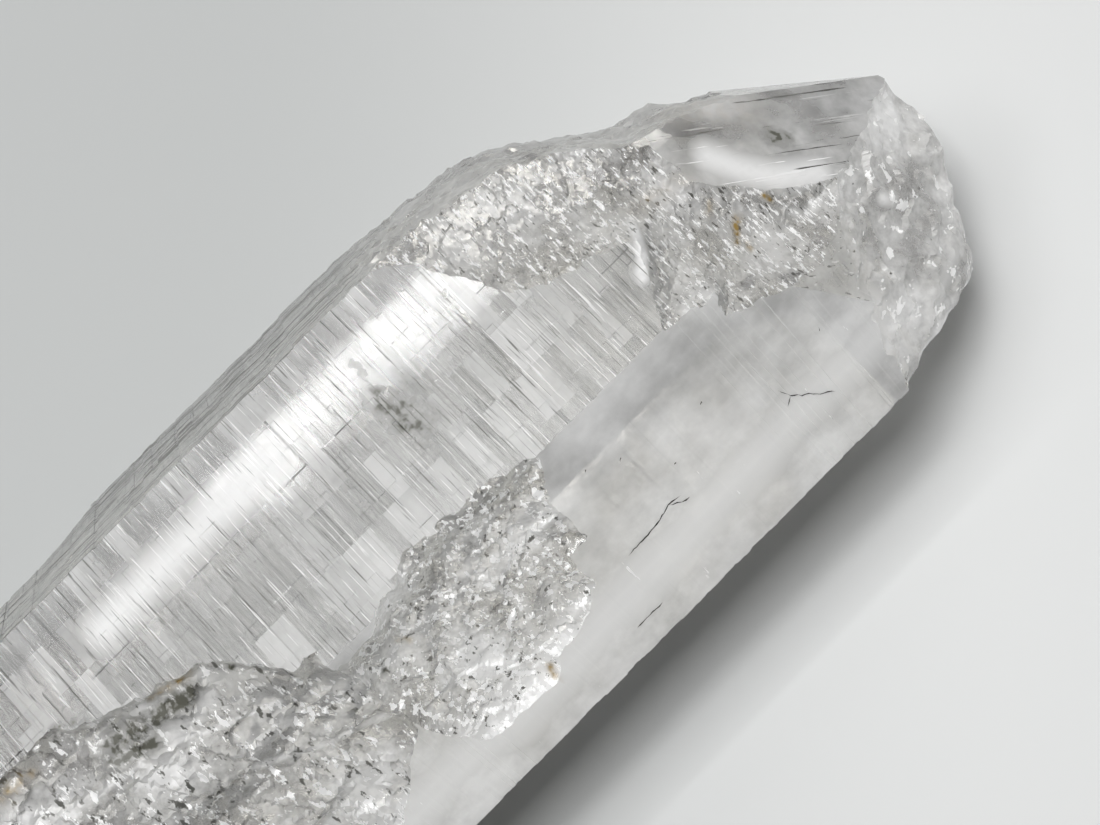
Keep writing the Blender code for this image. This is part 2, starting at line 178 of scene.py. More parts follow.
# Shell shaped ripples: where their rings centre, their spacing and height.
CHIP_RINGS = (27.0, -14.0, 3.3, 0.22)
BACK_CHIP_RINGS = (-18.0, 9.0, 4.5, 0.18)
LEDGE_SLOPE = 0.26
LEDGE_FLOOR = 3.2
LEDGE_FLOOR_START = 8.0
LEDGE_FLOOR_DROP = 0.055
BACK_PLACES = (20.0, 28.0, 34.0, 38.0, 46.0, 48.5, 51.5, 56.5)
BACK_DEPTHS = (0.0, 0.7, 1.7, 2.9, 2.7, 1.9, 0.75, 0.0)
BASE_LEAN_ACROSS = -0.08
BASE_LEAN_UP = 0.16

CUTTER_MARGIN = 2.0
CUTTER_HEADROOM = 6.0
CUTTER_RISE = 0.7
CUTTER_GAP = 0.15
GRAIN_JITTER = 0.5
SMALLEST_TURN = 0.12          # faces turned further away play no part in a break
SHARP_EDGE = 0.02
SHORTEST_EDGE = 0.01
FEWEST_TRIANGLES = 1000       # a crystal with fewer was cut away by mistake
# Distances from an edge over which roughness, fine relief and set back grow.
ROUGH_SETTLE = 1.4
FINE_SETTLE = 0.6
SET_BACK_SETTLE = 1.2
ROUNDING_SLOPE = 0.8
EDGE_WOBBLES = ((0.30, 1.3, 84), (0.14, 0.6, 85))   # height, size and seed
LUMP_SEED_STEP = 7
ALONG_SEED = 81
ACROSS_SEED = 82
SPLIT_SEED = 83
SMOOTH_ANGLE = math.radians(24.0)

# ------------------------------------------------------------------- quartz
QUARTZ_IOR = 1.544
DEPTH_TINT = (0.90, 0.89, 0.86)
DEPTH_DENSITY = 3.0
CLEARNESS = 0.95              # share of light that goes through the grown faces
SMOOTH_ROUGHNESS = 0.0
STRIATED_ROUGHNESS = 0.115
# Streaks of the growth lines, painted as shade into the tint: marks per millimetre along and
# across, and share.
STREAKS = ((3.6, 0.10, 1.0), (1.1, 0.14, 0.6), (0.30, 0.30, 0.5))
STREAK_DETAIL = 1.0
STREAK_LOW = 0.75
STREAK_HIGH = 1.25
# Blocks of painted light and shade on the grown faces.
BLOCK_RATES = (0.61, 0.23, 0.0)   # blocks per millimetre along and across
BLOCK_SHARE = 0.25
BLOCK_POWER = 2.0
# Broken surfaces: name, roughness, and share of light that goes through.
BROKEN_LOOKS = (("quartz_pitted", 0.10, 0.82), ("quartz_foil", 0.10, 0.80),
                ("quartz_ribbed", 0.10, 0.82), ("quartz_melted", 0.07, 0.82),
                ("quartz_shelled", 0.06, 0.90))

# ------------------------------------------------------------------- camera
# The camera looks down on the crystal and is rolled so that it lies aslant.
CAMERA_ELEVATION = math.radians(72.0)
CAMERA_ROLL = math.radians(45.1)
CAMERA_DISTANCE = 0.250
CAMERA_TARGET = Vector((0.0318, -0.001865, 0.0199))
CAMERA_LENS = 92.9
CAMERA_SENSOR = 36.0
CAMERA_NEAREST = 0.01

# -------------------------------------------------------------------- stage
# Lights: place, target and size, in metres.
KEY_LIGHT = ((0.03, 0.0, 0.80), (0.03, 0.0, 0.0), (0.26, 0.26))
PANEL_LIGHT = ((0.02, 0.135, 0.70), (0.02, 0.0, 0.0), (0.85, 0.21))
STRIP_LIGHT = ((-0.035, 0.256, 0.694), (-0.028, 0.005, 0.04), (0.70, 0.026))
MOST_BOUNCES = 6              # light is followed this far through the crystal
DIFFUSE_BOUNCES = 3
GLOSSY_BOUNCES = 4
BRIGHTEST_BOUNCE = 16.0
FLOOR_SIZE = 1.5
FLOOR_DROP = 0.0001
FLOOR_ROUGHNESS = 0.9
# The floor's colour brightens in this direction, between these places: painted shade, darker
# behind the crystal.
FLOOR_ACROSS = (0.707, -0.707, 0.0)
FLOOR_SHADE_START = -0.02
FLOOR_SHADE_END = 0.07
SKY_TOP = 0.8                 # height of the zenith's brightness, out of one

# --------------------------------------------------- films and cracks over it
FILM_LIFT = 0.015             # how far the films lie above the faces
FILM_ROUGHNESS = 0.42
FILM_UP = 0.3                 # films on grown faces that look up more than this are
FILM_CELL = 0.7               # cut into cells of this size, so that they can hold marks
FILM_CELLS = (((-22.0, 70.0), (1.0, 0.0, 0.0)), ((-22.0, 20.0), (0.0, 1.0, 0.0)))
MARK_EDGE = 0.035             # softness of the edges of the marks
MARK_DETAIL = 3.0
MARK_RAGGED = 0.65
MARK_SHIFTS = (("Light", (0.0, 0.0, 0.0)), ("Dark", (37.0, 11.0, 5.0)))
# The white strokes below are painted highlights and reflections.
STROKE_BASE = 0.6             # strength of white strokes between the light marks
MOST_WHITE = 0.92             # most of the crystal that a white stroke hides

# Haze: scale of its patches and grain per millimetre, and where it starts.
PATCH_SCALE = 0.16
PATCH_DETAIL = 5.0
PATCH_RAGGED = 0.52
PATCH_LOW = 0.34
PATCH_HIGH = 0.68
GRAIN_SCALE = 1.4
GRAIN_DETAIL = 4.0
GRAIN_MIDDLE = 0.5
SPECKLE_LOW = 0.36            # levels of the grain that break up stains and dark patches
SPECKLE_HIGH = 0.64
SPECKLE_LEAST = 0.35


@dataclass
class Film:
    """Marks and haze on one kind of surface."""
    name: str
    # On the grown faces the light marks are painted highlights and reflections. On every film
    # the dark marks are painted shade, and the blocks are painted lighter blocks.
    stretch: tuple         # marks per millimetre along, across and up
    light: tuple           # noise level where light marks start, and their strength
    dark: tuple            # the same for dark marks
    haze: tuple            # least and most haze
    grain: float           # share of fine grain in the haze
    blocks: float          # haze added in rectangular blocks
    painted_glow: float            # painted glow: light the haze gives off itself, in place of light from the clear body


# The light streaks of haze_and_reflections_point are painted reflections inside the point. The
# light lines and blocks of growth_lines are painted highlights and lighter blocks.
FILMS = (
    Film("haze_front", (1.6, 0.20, 0.20), (0.70, 0.5), (0.78, 0.4), (0.34, 0.72), 0.06, 0.0,
         0.28),
    Film("growth_lines", (5.0, 0.13, 0.13), (0.60, 0.80), (0.62, 0.75), (0.0, 0.12), 0.20,
         0.48, 0.05),
    Film("haze_and_reflections_point", (0.09, 2.2, 2.2), (0.64, 0.50), (0.63, 0.50), (0.12, 0.56), 0.10, 0.0,
         0.24),
    Film("haze_back", (0.10, 1.6, 1.6), (0.66, 0.50), (0.54, 0.55), (0.02, 0.30), 0.10, 0.0,
         0.0),
    Film("frost_pitted", (3.0, 0.75, 0.75), (0.56, 1.0), (0.62, 0.6), (0.02, 0.55), 0.35,
         0.0, 0.05),
    Film("frost_foil", (1.3, 1.1, 1.1), (0.55, 1.0), (0.62, 0.6), (0.05, 0.80), 0.35, 0.0,
         0.20),
    Film("frost_ribbed", (1.3, 0.6, 0.6), (0.57, 1.0), (0.61, 0.9), (0.05, 0.70), 0.30, 0.0,
         0.12),
    Film("frost_melted", (0.5, 0.6, 0.6), (0.60, 0.80), (0.70, 0.5), (0.16, 0.72), 0.25, 0.0,
         0.32),
    Film("frost_shelled", (0.8, 0.8, 0.8), (0.64, 0.50), (0.76, 0.4), (0.10, 0.50), 0.15, 0.0,
         0.08),
)

# Marks on the films, seen over the upper edge: radius, strength, and points
# along and across.
STAINS = (
    (0.35, 1.5, ((54.4, 1.2), (52.9, 0.2))),
    (0.28, 1.3, ((57.4, 0.9), (57.6, 0.1))),
    (0.40, 0.7, ((53.6, 3.9), (53.0, 3.4))),
    (0.25, 1.0, ((53.4, -0.6), (53.3, -1.0))),
    (0.70, 0.30, ((48.5, 8.3), (53.7, 6.7))),
    (1.60, 0.22, ((57.0, 10.0), (62.1, 5.3))),
    (0.30, 1.2, ((-7.9, 8.6), (-6.1, 8.3), (-3.9, 7.9))),
    (0.70, 0.9, ((-22.3, 11.1), (-20.7, 11.1), (-19.4, 10.9))),
    (0.30, 1.0, ((16.2, -15.8), (16.5, -14.8))),
    (0.35, 0.7, ((9.8, -2.6), (10.2, -3.3))),
)
# Dark patches laid over the films, darkening the crystal there.
DARK_PATCHES = (
    (1.00, 1.5, ((-13.5, 7.7), (-10.0, 7.2), (-5.0, 6.7))),
    (0.80, 1.5, ((-14.0, 6.7), (-10.5, 5.6))),
    (0.20, 1.3, ((-15.3, 12.5), (-12.8, 10.9))),
    (1.20, 0.35, ((-3.2, 6.6), (2.4, 1.0), (8.8, -1.7))),
    (1.30, 1.2, ((22.6, 12.6), (22.8, 10.3), (23.3, 8.6))),
    (0.80, 1.1, ((24.0, 11.0), (24.9, 8.8))),
    (0.45, 1.0, ((23.2, 15.9), (23.2, 14.5))),
    (0.80, 0.5, ((15.8, 10.2), (15.8, 7.4))),
    (0.60, 0.4, ((32.5, 14.6), (32.5, 12.4))),
    (0.70, 1.4, ((61.7, 3.4), (62.7, 1.9))),
    (0.30, 1.8, ((-1.3, 6.0), (-1.2, 5.9))),
    (0.30, 1.8, ((7.0, -3.8), (7.1, -3.7))),
    (0.30, 1.8, ((2.8, -4.0), (2.9, -4.2))),
    (0.30, 1.8, ((-8.4, -3.0), (-8.3, -3.0))),
)
# Painted highlights and reflections: white strokes over the films, among them the reflected
# band on the top face, the lighter lower front face and the bright wedge on the point.
PAINTED_HIGHLIGHTS = (
    (0.65, 1.6, ((47.5, 7.9), (46.2, 6.0), (44.8, 5.0))),
    (0.40, 1.3, ((-9.2, 4.4), (-4.7, 2.6), (-0.6, 1.0))),
    (0.40, 1.2, ((-17.4, 5.9), (-12.2, 5.0))),
    (0.45, 1.2, ((-6.7, -1.7), (-2.3, -4.4), (-0.7, -5.0), (4.3, -6.7))),
    (0.80, 0.8, ((17.9, -4.0), (18.9, -8.3), (16.6, -13.0))),
    (0.70, 1.0, ((58.0, -1.6), (58.9, -3.1), (61.3, -3.1))),
    (1.70, 1.35, ((56.4, 6.4), (57.6, 3.8), (59.4, 1.0), (62.4, -1.6))),
    (0.90, 1.0, ((65.3, -7.9), (65.9, -8.7))),
    (1.30, 0.8, ((58.4, -17.9), (63.0, -17.8), (66.8, -16.7))),
    (1.30, 0.5, ((10.4, 16.1), (10.5, 12.9), (10.6, 9.7))),
    (4.50, 1.2, ((-10.0, -15.5), (20.0, -15.5), (40.0, -14.5), (56.0, -14.0))),
    (2.00, 1.5, ((13.0, 15.2), (2.0, 15.2), (-7.0, 15.0))),
)
POINT_EDGE = (-0.535, 0.243, 0.421)   # direction of the point's longest edge

# Hairline cracks that come up to the front face, as points on it.
CRACKS = (
    ((27.9, -12.2), (30.0, -12.1), (31.9, -11.9), (33.3, -11.4), (34.6, -11.6)),
    ((33.3, -11.4), (34.3, -12.2), (35.1, -12.4)),
    ((46.6, -11.0), (47.1, -12.4), (48.6, -13.9), (50.2, -15.4)),
    ((47.1, -12.4), (46.3, -13.0)),
    ((24.0, -18.2), (25.5, -18.2), (27.1, -18.2)),
    ((33.0, -4.9), (33.1, -4.8), (33.3, -4.7)),
    ((41.0, -6.6), (41.1, -6.5), (41.3, -6.5)),
    ((52.5, -9.8), (52.6, -9.7), (52.7, -9.4)),
    ((30.4, -3.2), (30.5, -3.1), (30.6, -3.1)),
    ((36.0, -9.0), (36.1, -8.9), (36.3, -8.9)),
)
CRACK_WIDTH = 0.15
CRACK_THINNEST = 0.3          # share of the width that is left where it is thin
CRACK_LIFT = 0.04
CRACK_JAG = 0.16
CRACK_STEP = 0.35
CRACK_ROUGHNESS = 0.9


# =================================================================== settings
class QuartzShape(bpy.types.PropertyGroup):
    """Sizes of the fine relief of the crystal."""
    grain: bpy.props.FloatProperty(
        name="Break grain", description="Spacing of the points of the broken surfaces",
        default=0.42 * MM, unit="LENGTH")
    fine_depth: bpy.props.FloatProperty(
        name="Fine step depth", description="Depth of the fine growth steps",
        default=FINE_DEPTH * MM, unit="LENGTH")


class QuartzColours(bpy.types.PropertyGroup):
    """Colours of the quartz and of what is in it."""
    clear: bpy.props.FloatVectorProperty(
        name="Clear quartz", description="Tint of the clear faces", subtype="COLOR",
        size=3, min=0.0, max=1.0, default=(0.985, 0.98, 0.975))
    # Painted shade: darkest tint of the growth line streaks.
    streak_shade: bpy.props.FloatVectorProperty(
        name="Streak", description="Tint of the darkest growth lines", subtype="COLOR",
        size=3, min=0.0, max=1.0, default=(0.52, 0.53, 0.52))
    frosted: bpy.props.FloatVectorProperty(
        name="Broken quartz", description="Tint of the rough broken faces", subtype="COLOR",
        size=3, min=0.0, max=1.0, default=(0.97, 0.955, 0.93))
    stain: bpy.props.FloatVectorProperty(
        name="Iron stain", description="Stain that has settled in the rough places",
        subtype="COLOR", size=3, min=0.0, max=1.0, default=(0.33, 0.22, 0.06))
    # This white also paints the highlight strokes and the light growth lines.
    haze: bpy.props.FloatVectorProperty(
        name="Haze", description="White of the frost, haze and light growth lines",
        subtype="COLOR", size=3, min=0.0, max=1.0, default=(0.95, 0.95, 0.945))
    # Painted shade: grey of the dark lines and pits, where they show dark.
    mark_shade: bpy.props.FloatVectorProperty(
        name="Dark mark", description="Grey of the dark lines and pits", subtype="COLOR",
        size=3, min=0.0, max=1.0, default=(0.12, 0.12, 0.11))
    # Grey of the dark patches on the films.
    dark_patch: bpy.props.FloatVectorProperty(
        name="Grime", description="Dark dirt and smudges", subtype="COLOR",
        size=3, min=0.0, max=1.0, default=(0.11, 0.11, 0.09))
    crack: bpy.props.FloatVectorProperty(
        name="Crack", description="Shadow in the hairline cracks", subtype="COLOR",
        size=3, min=0.0, max=1.0, default=(0.035, 0.032, 0.028))


class QuartzStage(bpy.types.PropertyGroup):
    """Floor and lights."""
    floor: bpy.props.FloatVectorProperty(
        name="Floor", description="Colour of the floor", subtype="COLOR",
        size=3, min=0.0, max=1.0, default=(0.93, 0.94, 0.935))
    # Painted shade: the floor behind the crystal is coloured darker, standing for the dimmer
    # light that falls there.
    shaded_far_floor: bpy.props.FloatVectorProperty(
        name="Far floor", description="Colour of the floor behind the crystal",
        subtype="COLOR", size=3, min=0.0, max=1.0, default=(0.65, 0.665, 0.66))
    key_power: bpy.props.FloatProperty(
        name="Key light", description="Power of the light overhead", default=2.7, unit="POWER")
    panel_power: bpy.props.FloatProperty(
        name="Panel light", description="Power of the wide soft light", default=1.8,
        unit="POWER")
    strip_power: bpy.props.FloatProperty(
        name="Strip light", description="Power of the long thin light", default=0.46,
        unit="POWER")
    zenith: bpy.props.FloatProperty(
        name="Zenith", description="Brightness of the surroundings overhead", default=0.98)
    horizon: bpy.props.FloatProperty(
        name="Horizon", description="Brightness of the surroundings near the floor",
        default=0.95)


# ==================================================================== numbers
def hashed(i, j, seed):
    """Repeatable value from 0 to 1 for whole numbers i and j."""
    i = np.asarray(i, dtype=np.int64)
    j = np.asarray(j, dtype=np.int64)
    n = (i * 374761393 + j * 668265263 + seed * 974634777) & 0xFFFFFFFF
    n = ((n ^ (n >> 13)) * 1274126177) & 0xFFFFFFFF
    return ((n ^ (n >> 16)) & 0xFFFF) / 65535.0


def lumps(u, v, size, seed):
    """Smooth bumps from -1 to 1, about `size` across."""
    u = u / size
    v = v / size
    i = np.floor(u)
    j = np.floor(v)
    fu = u - i
    fv = v - j
    fu = fu * fu * (3.0 - 2.0 * fu)
    fv = fv * fv * (3.0 - 2.0 * fv)
    low = hashed(i, j, seed) * (1.0 - fu) + hashed(i + 1, j, seed) * fu
    high = hashed(i, j + 1, seed) * (1.0 - fu) + hashed(i + 1, j + 1, seed) * fu
    return 2.0 * (low * (1.0 - fv) + high * fv) - 1.0


def flakes(u, v, size_u, size_v, seed):
    """Small flat facets, each tilted its own way, from about -1 to 1."""
    u = u / size_u
    v = v / size_v
    nearest = np.full(u.shape, FAR)
    height = np.zeros(u.shape)
    for step_u in (-1, 0, 1):
        for step_v in (-1, 0, 1):
            i = np.floor(u) + step_u
            j = np.floor(v) + step_v
            du = u - i - hashed(i, j, seed)
            dv = v - j - hashed(i, j, seed + 1)
            tilt_u = hashed(i, j, seed + 2) - 0.5
            tilt_v = hashed(i, j, seed + 3) - 0.5
            lift = hashed(i, j, seed + 4) - 0.5
            apart = du * du + dv * dv
            closer = apart < nearest
            nearest = np.where(closer, apart, nearest)
            height = np.where(closer, 2.0 * (tilt_u * du + tilt_v * dv) + lift, height)
    return height


def inside_distance(u, v, outline):
    """Distance to the outline, positive inside it and negative outside."""
    nearest = np.full(u.shape, FAR)
    inside = np.zeros(u.shape, dtype=bool)
    for (u0, v0), (u1, v1) in zip(outline, outline[1:] + outline[:1]):
        du = u1 - u0
        dv = v1 - v0
        part = np.clip(((u - u0) * du + (v - v0) * dv) / (du * du + dv * dv), 0.0, 1.0)
        nearest = np.minimum(nearest, np.hypot(u - u0 - part * du, v - v0 - part * dv))
        if v0 != v1:
            crosses = (v0 > v) != (v1 > v)
            inside ^= crosses & (u < u0 + (v - v0) * du / dv)
    return np.where(inside, nearest, -nearest)


def facing(turn, lean):
    """Unit vector that a face with this turn and lean points along."""
    turn = math.radians(turn)
    lean = math.radians(lean)
    return np.array([math.sin(lean), -math.cos(turn) * math.cos(lean),
                     math.sin(turn) * math.cos(lean)])


def frame_of(turn, lean):
    """Along, across and outward directions of the plane facing this way."""
    out = facing(turn, lean)
    start = np.array([0.0, 1.0, 0.0]) if abs(out[0]) > SAME_WAY else np.array([1.0, 0.0, 0.0])
    along = start - out * start.dot(out)
    along /= np.linalg.norm(along)
    return along, np.cross(out, along), out


PLANES = {name: (facing(turn, lean), distance)
          for name, (turn, lean, distance) in FACES.items()}


def unbroken_height(u, v, frame, roundness, names):
    """Height of the named faces over each point of a frame's plane, with the
    edges between them rounded over by `roundness`."""
    along, across, out = frame
    heights = []
    for name in names:
        normal, distance = PLANES[name]
        if normal.dot(out) > SMALLEST_TURN:
            sideways = u * normal.dot(along) + v * normal.dot(across)
            heights.append((distance - sideways) / normal.dot(out))
    heights = np.array(heights)
    lowest = heights.min(axis=0)
    spread = np.exp((lowest - heights) / roundness).sum(axis=0)
    return lowest - roundness * np.log(spread)


# ========================================================= whole crystal mesh
def whole_crystal():
    """Crystal cut flat on every face, before its steps and breaks."""
    bm = bmesh.new()
    bmesh.ops.create_cube(bm, size=BLOCK_SIZE)
    for normal, distance in PLANES.values():
        cut = bmesh.ops.bisect_plane(
            bm, geom=bm.verts[:] + bm.edges[:] + bm.faces[:], dist=CUT_TOLERANCE,
            plane_co=Vector(normal * distance), plane_no=Vector(normal), clear_outer=True)
        rim = [item for item in cut["geom_cut"] if isinstance(item, bmesh.types.BMEdge)]
        bmesh.ops.edgeloop_fill(bm, edges=rim)
    for index, names in enumerate((STRIATED, POINTED, ("back",)), 1):
        for name in names:
            for face in on_face(bm, name):
                face.material_index = index
    return bm


def on_face(bm, name):
    """Mesh faces that lie on the named crystal face."""
    normal, distance = PLANES[name]
    found = []
    for face in bm.faces:
        middle = np.array(face.calc_center_median())
        if (abs(normal.dot(middle) - distance) < PLANE_TOLERANCE
                and normal.dot(np.array(face.normal)) > SAME_WAY):
            found.append(face)
    return found


def with_rims(faces):
    """Some faces with their edges and corners."""
    geometry = set(faces)
    for face in faces:
        geometry.update(face.edges)
        geometry.update(face.verts)
    return list(geometry)


def slice_along(bm, geometry, places, direction):
    """Cut new edges across some geometry at each place along a direction."""
    for place in places:
        cut = bmesh.ops.bisect_plane(
            bm, geom=geometry, dist=CUT_TOLERANCE, plane_co=Vector(direction * place),
            plane_no=Vector(direction))
        geometry = [item for item in cut["geom"] if item.is_valid]
    return geometry


def places_between(start, end, shortest, longest, seed):
    """Unevenly spaced places from start to end."""
    places = []
    x = start
    while x < end:
        places.append(x)
        x += shortest + (longest - shortest) * float(hashed(len(places), SPACING_DRAW, seed))
    return places


def edges_of(places, riser):
    """Both sides of the little riser at each place."""
    return sorted([x - 0.5 * riser for x in places] + [x + 0.5 * riser for x in places])


def main_step(name, x, across, places):
    """Height of the main growth steps on a prism face, zero or below."""
    row = int(np.searchsorted(places, x))
    strip = int(np.searchsorted(STRIP_LINES, across)) if name == "top" else 0
    seed = MAIN_SEED + PRISM.index(name)
    level = math.floor(STEP_CHANGES * row + float(hashed(strip, MAIN_DRAW, seed)))
    height = -STEP_DEPTH[name] * float(hashed(level, strip, seed))
    if name == "front" and FRONT_SMOOTH[0] < x < FRONT_SMOOTH[1]:
        height *= FRONT_SMOOTH_SHARE
    if name == "bottom" and not any(start < x < end for start, end in BOTTOM_BANDS):
        height = 0.0
    return height


def fine_step(name, x, across, places, depth):
    """Height of the fine growth steps, with each plateau a little tilted."""
    if name == "bottom":
        return 0.0
    row = int(np.searchsorted(places, x))
    strip = int(np.searchsorted(FINE_LINES, across)) if name == "top" else 0
    seed = FINE_SEED + PRISM.index(name)
    level = math.floor(FINE_CHANGES * row + float(hashed(strip, FINE_DRAW, seed)))
    share = float(hashed(level, strip, seed))
    centre = 0.5 * (places[max(row - 1, 0)] + places[min(row, len(places) - 1)])
    tilt = FINE_TILT * (float(hashed(row, strip, seed + TILT_SEED_STEP)) - 0.5) * (x - centre)
    block = math.floor(x / CROSS_BLOCK + float(hashed(strip, CROSS_DRAW, seed)))
    cross = CROSS_TILT * (float(hashed(block, strip, seed + CROSS_SEED_STEP)) - 0.5) * across
    strength = 1.0
    if name == "front":
        smooth = FRONT_SMOOTH[0] < x < FRONT_SMOOTH[1]
        strength = FRONT_SMOOTH_FINE_SHARE if smooth else FRONT_FINE_SHARE
    return strength * (-depth * share * share + tilt) + cross


def cut_growth_steps(bm, fine_depth):
    """Slice the prism faces into rows and set each row to its own level."""
    main = places_between(STEPS_START, STEPS_END, SHORTEST_STEP, LONGEST_STEP,
                          MAIN_PLACES_SEED)
    fine = places_between(STEPS_START, STEPS_END, SHORTEST_FINE_STEP, LONGEST_FINE_STEP,
                          FINE_PLACES_SEED)
    prism = with_rims([face for name in PRISM for face in on_face(bm, name)])
    cuts = sorted(edges_of(main, STEP_RISER) + edges_of(fine, FINE_RISER))
    slice_along(bm, prism, cuts, np.array([1.0, 0.0, 0.0]))
    across = frame_of(*FACES["top"][:2])[1]
    lines = edges_of(STRIP_LINES, STEP_RISER) + edges_of(FINE_LINES, FINE_RISER)
    slice_along(bm, with_rims(on_face(bm, "top")), sorted(lines), across)

    normals = np.array([normal for normal, distance in PLANES.values()])
    distances = np.array([distance for normal, distance in PLANES.values()])
    sides = {name: frame_of(*FACES[name][:2])[1] for name in PRISM}
    names = list(PLANES)
    for vert in bm.verts:
        place = np.array(vert.co)
        touching = np.flatnonzero(np.abs(normals @ place - distances) < PLANE_TOLERANCE)
        rise = np.zeros(len(touching))
        for k, index in enumerate(touching):
            name = names[index]
            if name in PRISM:
                side = sides[name].dot(place)
                rise[k] = main_step(name, place[0], side, main)
                rise[k] += fine_step(name, place[0], side, fine, fine_depth)
        if rise.any():
            vert.co += Vector(np.linalg.lstsq(normals[touching], rise, rcond=None)[0])


# ==================================================================== breaks
@dataclass
class Break:
    """A broken surface, and how rough it is."""
    name: str
    facing: tuple          # (turn, lean) of the plane that it faces
    outline: tuple         # its edge in that plane
    grain: float           # spacing of its points, as a share of the main grain
    follows: tuple         # crystal faces that its depth is measured from
    rounding: float        # how far it rounds over the edges between them
    sink: float            # depth that it soon reaches inside its edge
    ease: float            # how far in from its edge it takes to sink
    flake: tuple           # size along, size across and height of its flakes
    lump: tuple            # size and height of its lumps
    seed: int
    extra: Callable        # depth of its own shape, from (inset, along, across)
    fine: Callable         # its fine relief, from (along, across)
    look: str              # name of the material of its surface

    def depth(self, inset, u, v):
        """Depth below the whole crystal, this far inside the edge."""
        flake_u, flake_v, flake_height = self.flake
        lump_size, lump_height = self.lump
        rough = flake_height * flakes(u, v, flake_u, flake_v, self.seed)
        rough = rough + lump_height * lumps(u, v, lump_size, self.seed + LUMP_SEED_STEP)
        depth = self.sink * (1.0 - np.exp(-inset / self.ease))
        depth = depth + np.clip(inset / ROUGH_SETTLE, 0.0, 1.0) * rough
        depth = depth + np.clip(inset / FINE_SETTLE, 0.0, 1.0) * self.fine(u, v)
        return depth + self.extra(inset, u, v)


def no_extra(inset, u, v):
    """A break with no shape of its own."""
    return 0.0


def rings(inset, u, v, settings):
    """Shell shaped ripples round a centre."""
    centre_u, centre_v, spacing, height = settings
    distance = np.hypot(u - centre_u, v - centre_v)
    settled = np.clip(inset / ROUGH_SETTLE, 0.0, 1.0)
    return height * settled * np.sin(distance * 2.0 * math.pi / spacing)


def chip_rings(inset, u, v):
    """Ripples across the scoop in the front edge."""
    return rings(inset, u, v, CHIP_RINGS)


def back_chip_rings(inset, u, v):
    """Ripples across the chip in the back edge."""
    return rings(inset, u, v, BACK_CHIP_RINGS)


def ledge_fall(inset, u, v):
    """Ground below the ledge's cliff, falling away to the base."""
    floor = LEDGE_FLOOR + LEDGE_FLOOR_DROP * np.clip(LEDGE_FLOOR_START - u, 0.0, None)
    return np.minimum(LEDGE_SLOPE * inset, floor)


def back_set(inset, u, v):
    """Set back part of the back face, which ends in a step near the point."""
    return np.clip(inset / SET_BACK_SETTLE, 0.0, 1.0) * np.interp(u, BACK_PLACES, BACK_DEPTHS)


def base_lean(inset, u, v):
    """Slope of the broken base, deepest at the top and the front."""
    return BASE_LEAN_ACROSS * u - BASE_LEAN_UP * v


def pitted(u, v):
    """Short pits that run across the crystal, as along its growth steps."""
    return (0.22 * flakes(u, v, 0.75, 2.1, 101) + 0.10 * flakes(u, v, 0.45, 0.9, 106)
            + 0.10 * lumps(u, v, 0.8, 111))


def foil(u, v):
    """Crumpled foil: thin flakes at several sizes."""
    return (0.34 * flakes(u, v, 2.4, 1.7, 121) + 0.10 * flakes(u + v, v - u, 1.0, 0.8, 126)
            + 0.03 * lumps(u, v, 0.7, 131))


def ribbed(u, v):
    """Stepped ribs that run down from the ledge."""
    return (0.52 * flakes(u + 0.5 * v, v, 2.2, 5.0, 141) + 0.16 * flakes(u, v, 1.4, 1.1, 146)
            + 0.04 * lumps(u, v, 0.7, 151))


def melted(u, v):
    """Smooth rounded lumps."""
    return (0.30 * lumps(u, v, 1.9, 161) + 0.16 * lumps(u, v, 1.0, 166)
            + 0.12 * flakes(u, v, 1.7, 1.4, 171))


def shelled(u, v):
    """Nearly smooth shell shaped break."""
    return 0.08 * lumps(u, v, 1.6, 181) + 0.05 * flakes(u, v, 1.2, 1.2, 186)


BREAKS = (
    Break("edge_break", (60, 0.0), EDGE_OUTLINE, 0.55,
          ("top", "front", "point_top", "end_side", "point_rib"), 1.6, 2.9, 2.6,
          (2.6, 4.2, 0.45), (6.0, 0.35), 21, no_extra, pitted, "quartz_pitted"),
    Break("back_break", (150, 19.0), BACK_OUTLINE, 1.6,
          ("back", "point_back", "back_under", "point_back_under"), 0.6, 0.05, 1.0,
          (4.0, 4.0, 0.3), (5.0, 0.12), 61, back_set, pitted, "quartz_shelled"),
    Break("chip", (60, 0.0), CHIP_OUTLINE, 0.55,
          ("top", "front"), 2.5, 2.4, 2.0,
          (3.4, 2.6, 0.5), (7.0, 0.5), 32, chip_rings, foil, "quartz_foil"),
    Break("ledge", (60, 0.0), LEDGE_OUTLINE, 0.85,
          ("top", "front"), 3.0, 1.5, 0.7,
          (5.0, 3.2, 0.75), (9.0, 0.5), 41, ledge_fall, ribbed, "quartz_ribbed"),
    Break("end_break", (30, POINT_LEAN), END_OUTLINE, 0.7,
          ("front", "front_under", "end_side", "point_rib", "end_front"), 1.2, 1.0, 1.0,
          (3.2, 2.4, 0.35), (4.2, 0.6), 51, no_extra, melted, "quartz_melted"),
    Break("back_chip", (180, 0.0), BACK_CHIP_OUTLINE, 1.4,
          ("back", "back_under"), 1.5, 1.7, 2.2,
          (4.0, 4.0, 0.1), (6.0, 0.1), 55, back_chip_rings, shelled, "quartz_shelled"),
    Break("base_break", (0, -90.0), BASE_OUTLINE, 2.2,
          ("base",), 0.3, 5.5, 0.5,
          (9.0, 7.0, 1.3), (15.0, 1.6), 71, base_lean, foil, "quartz_foil"),
)


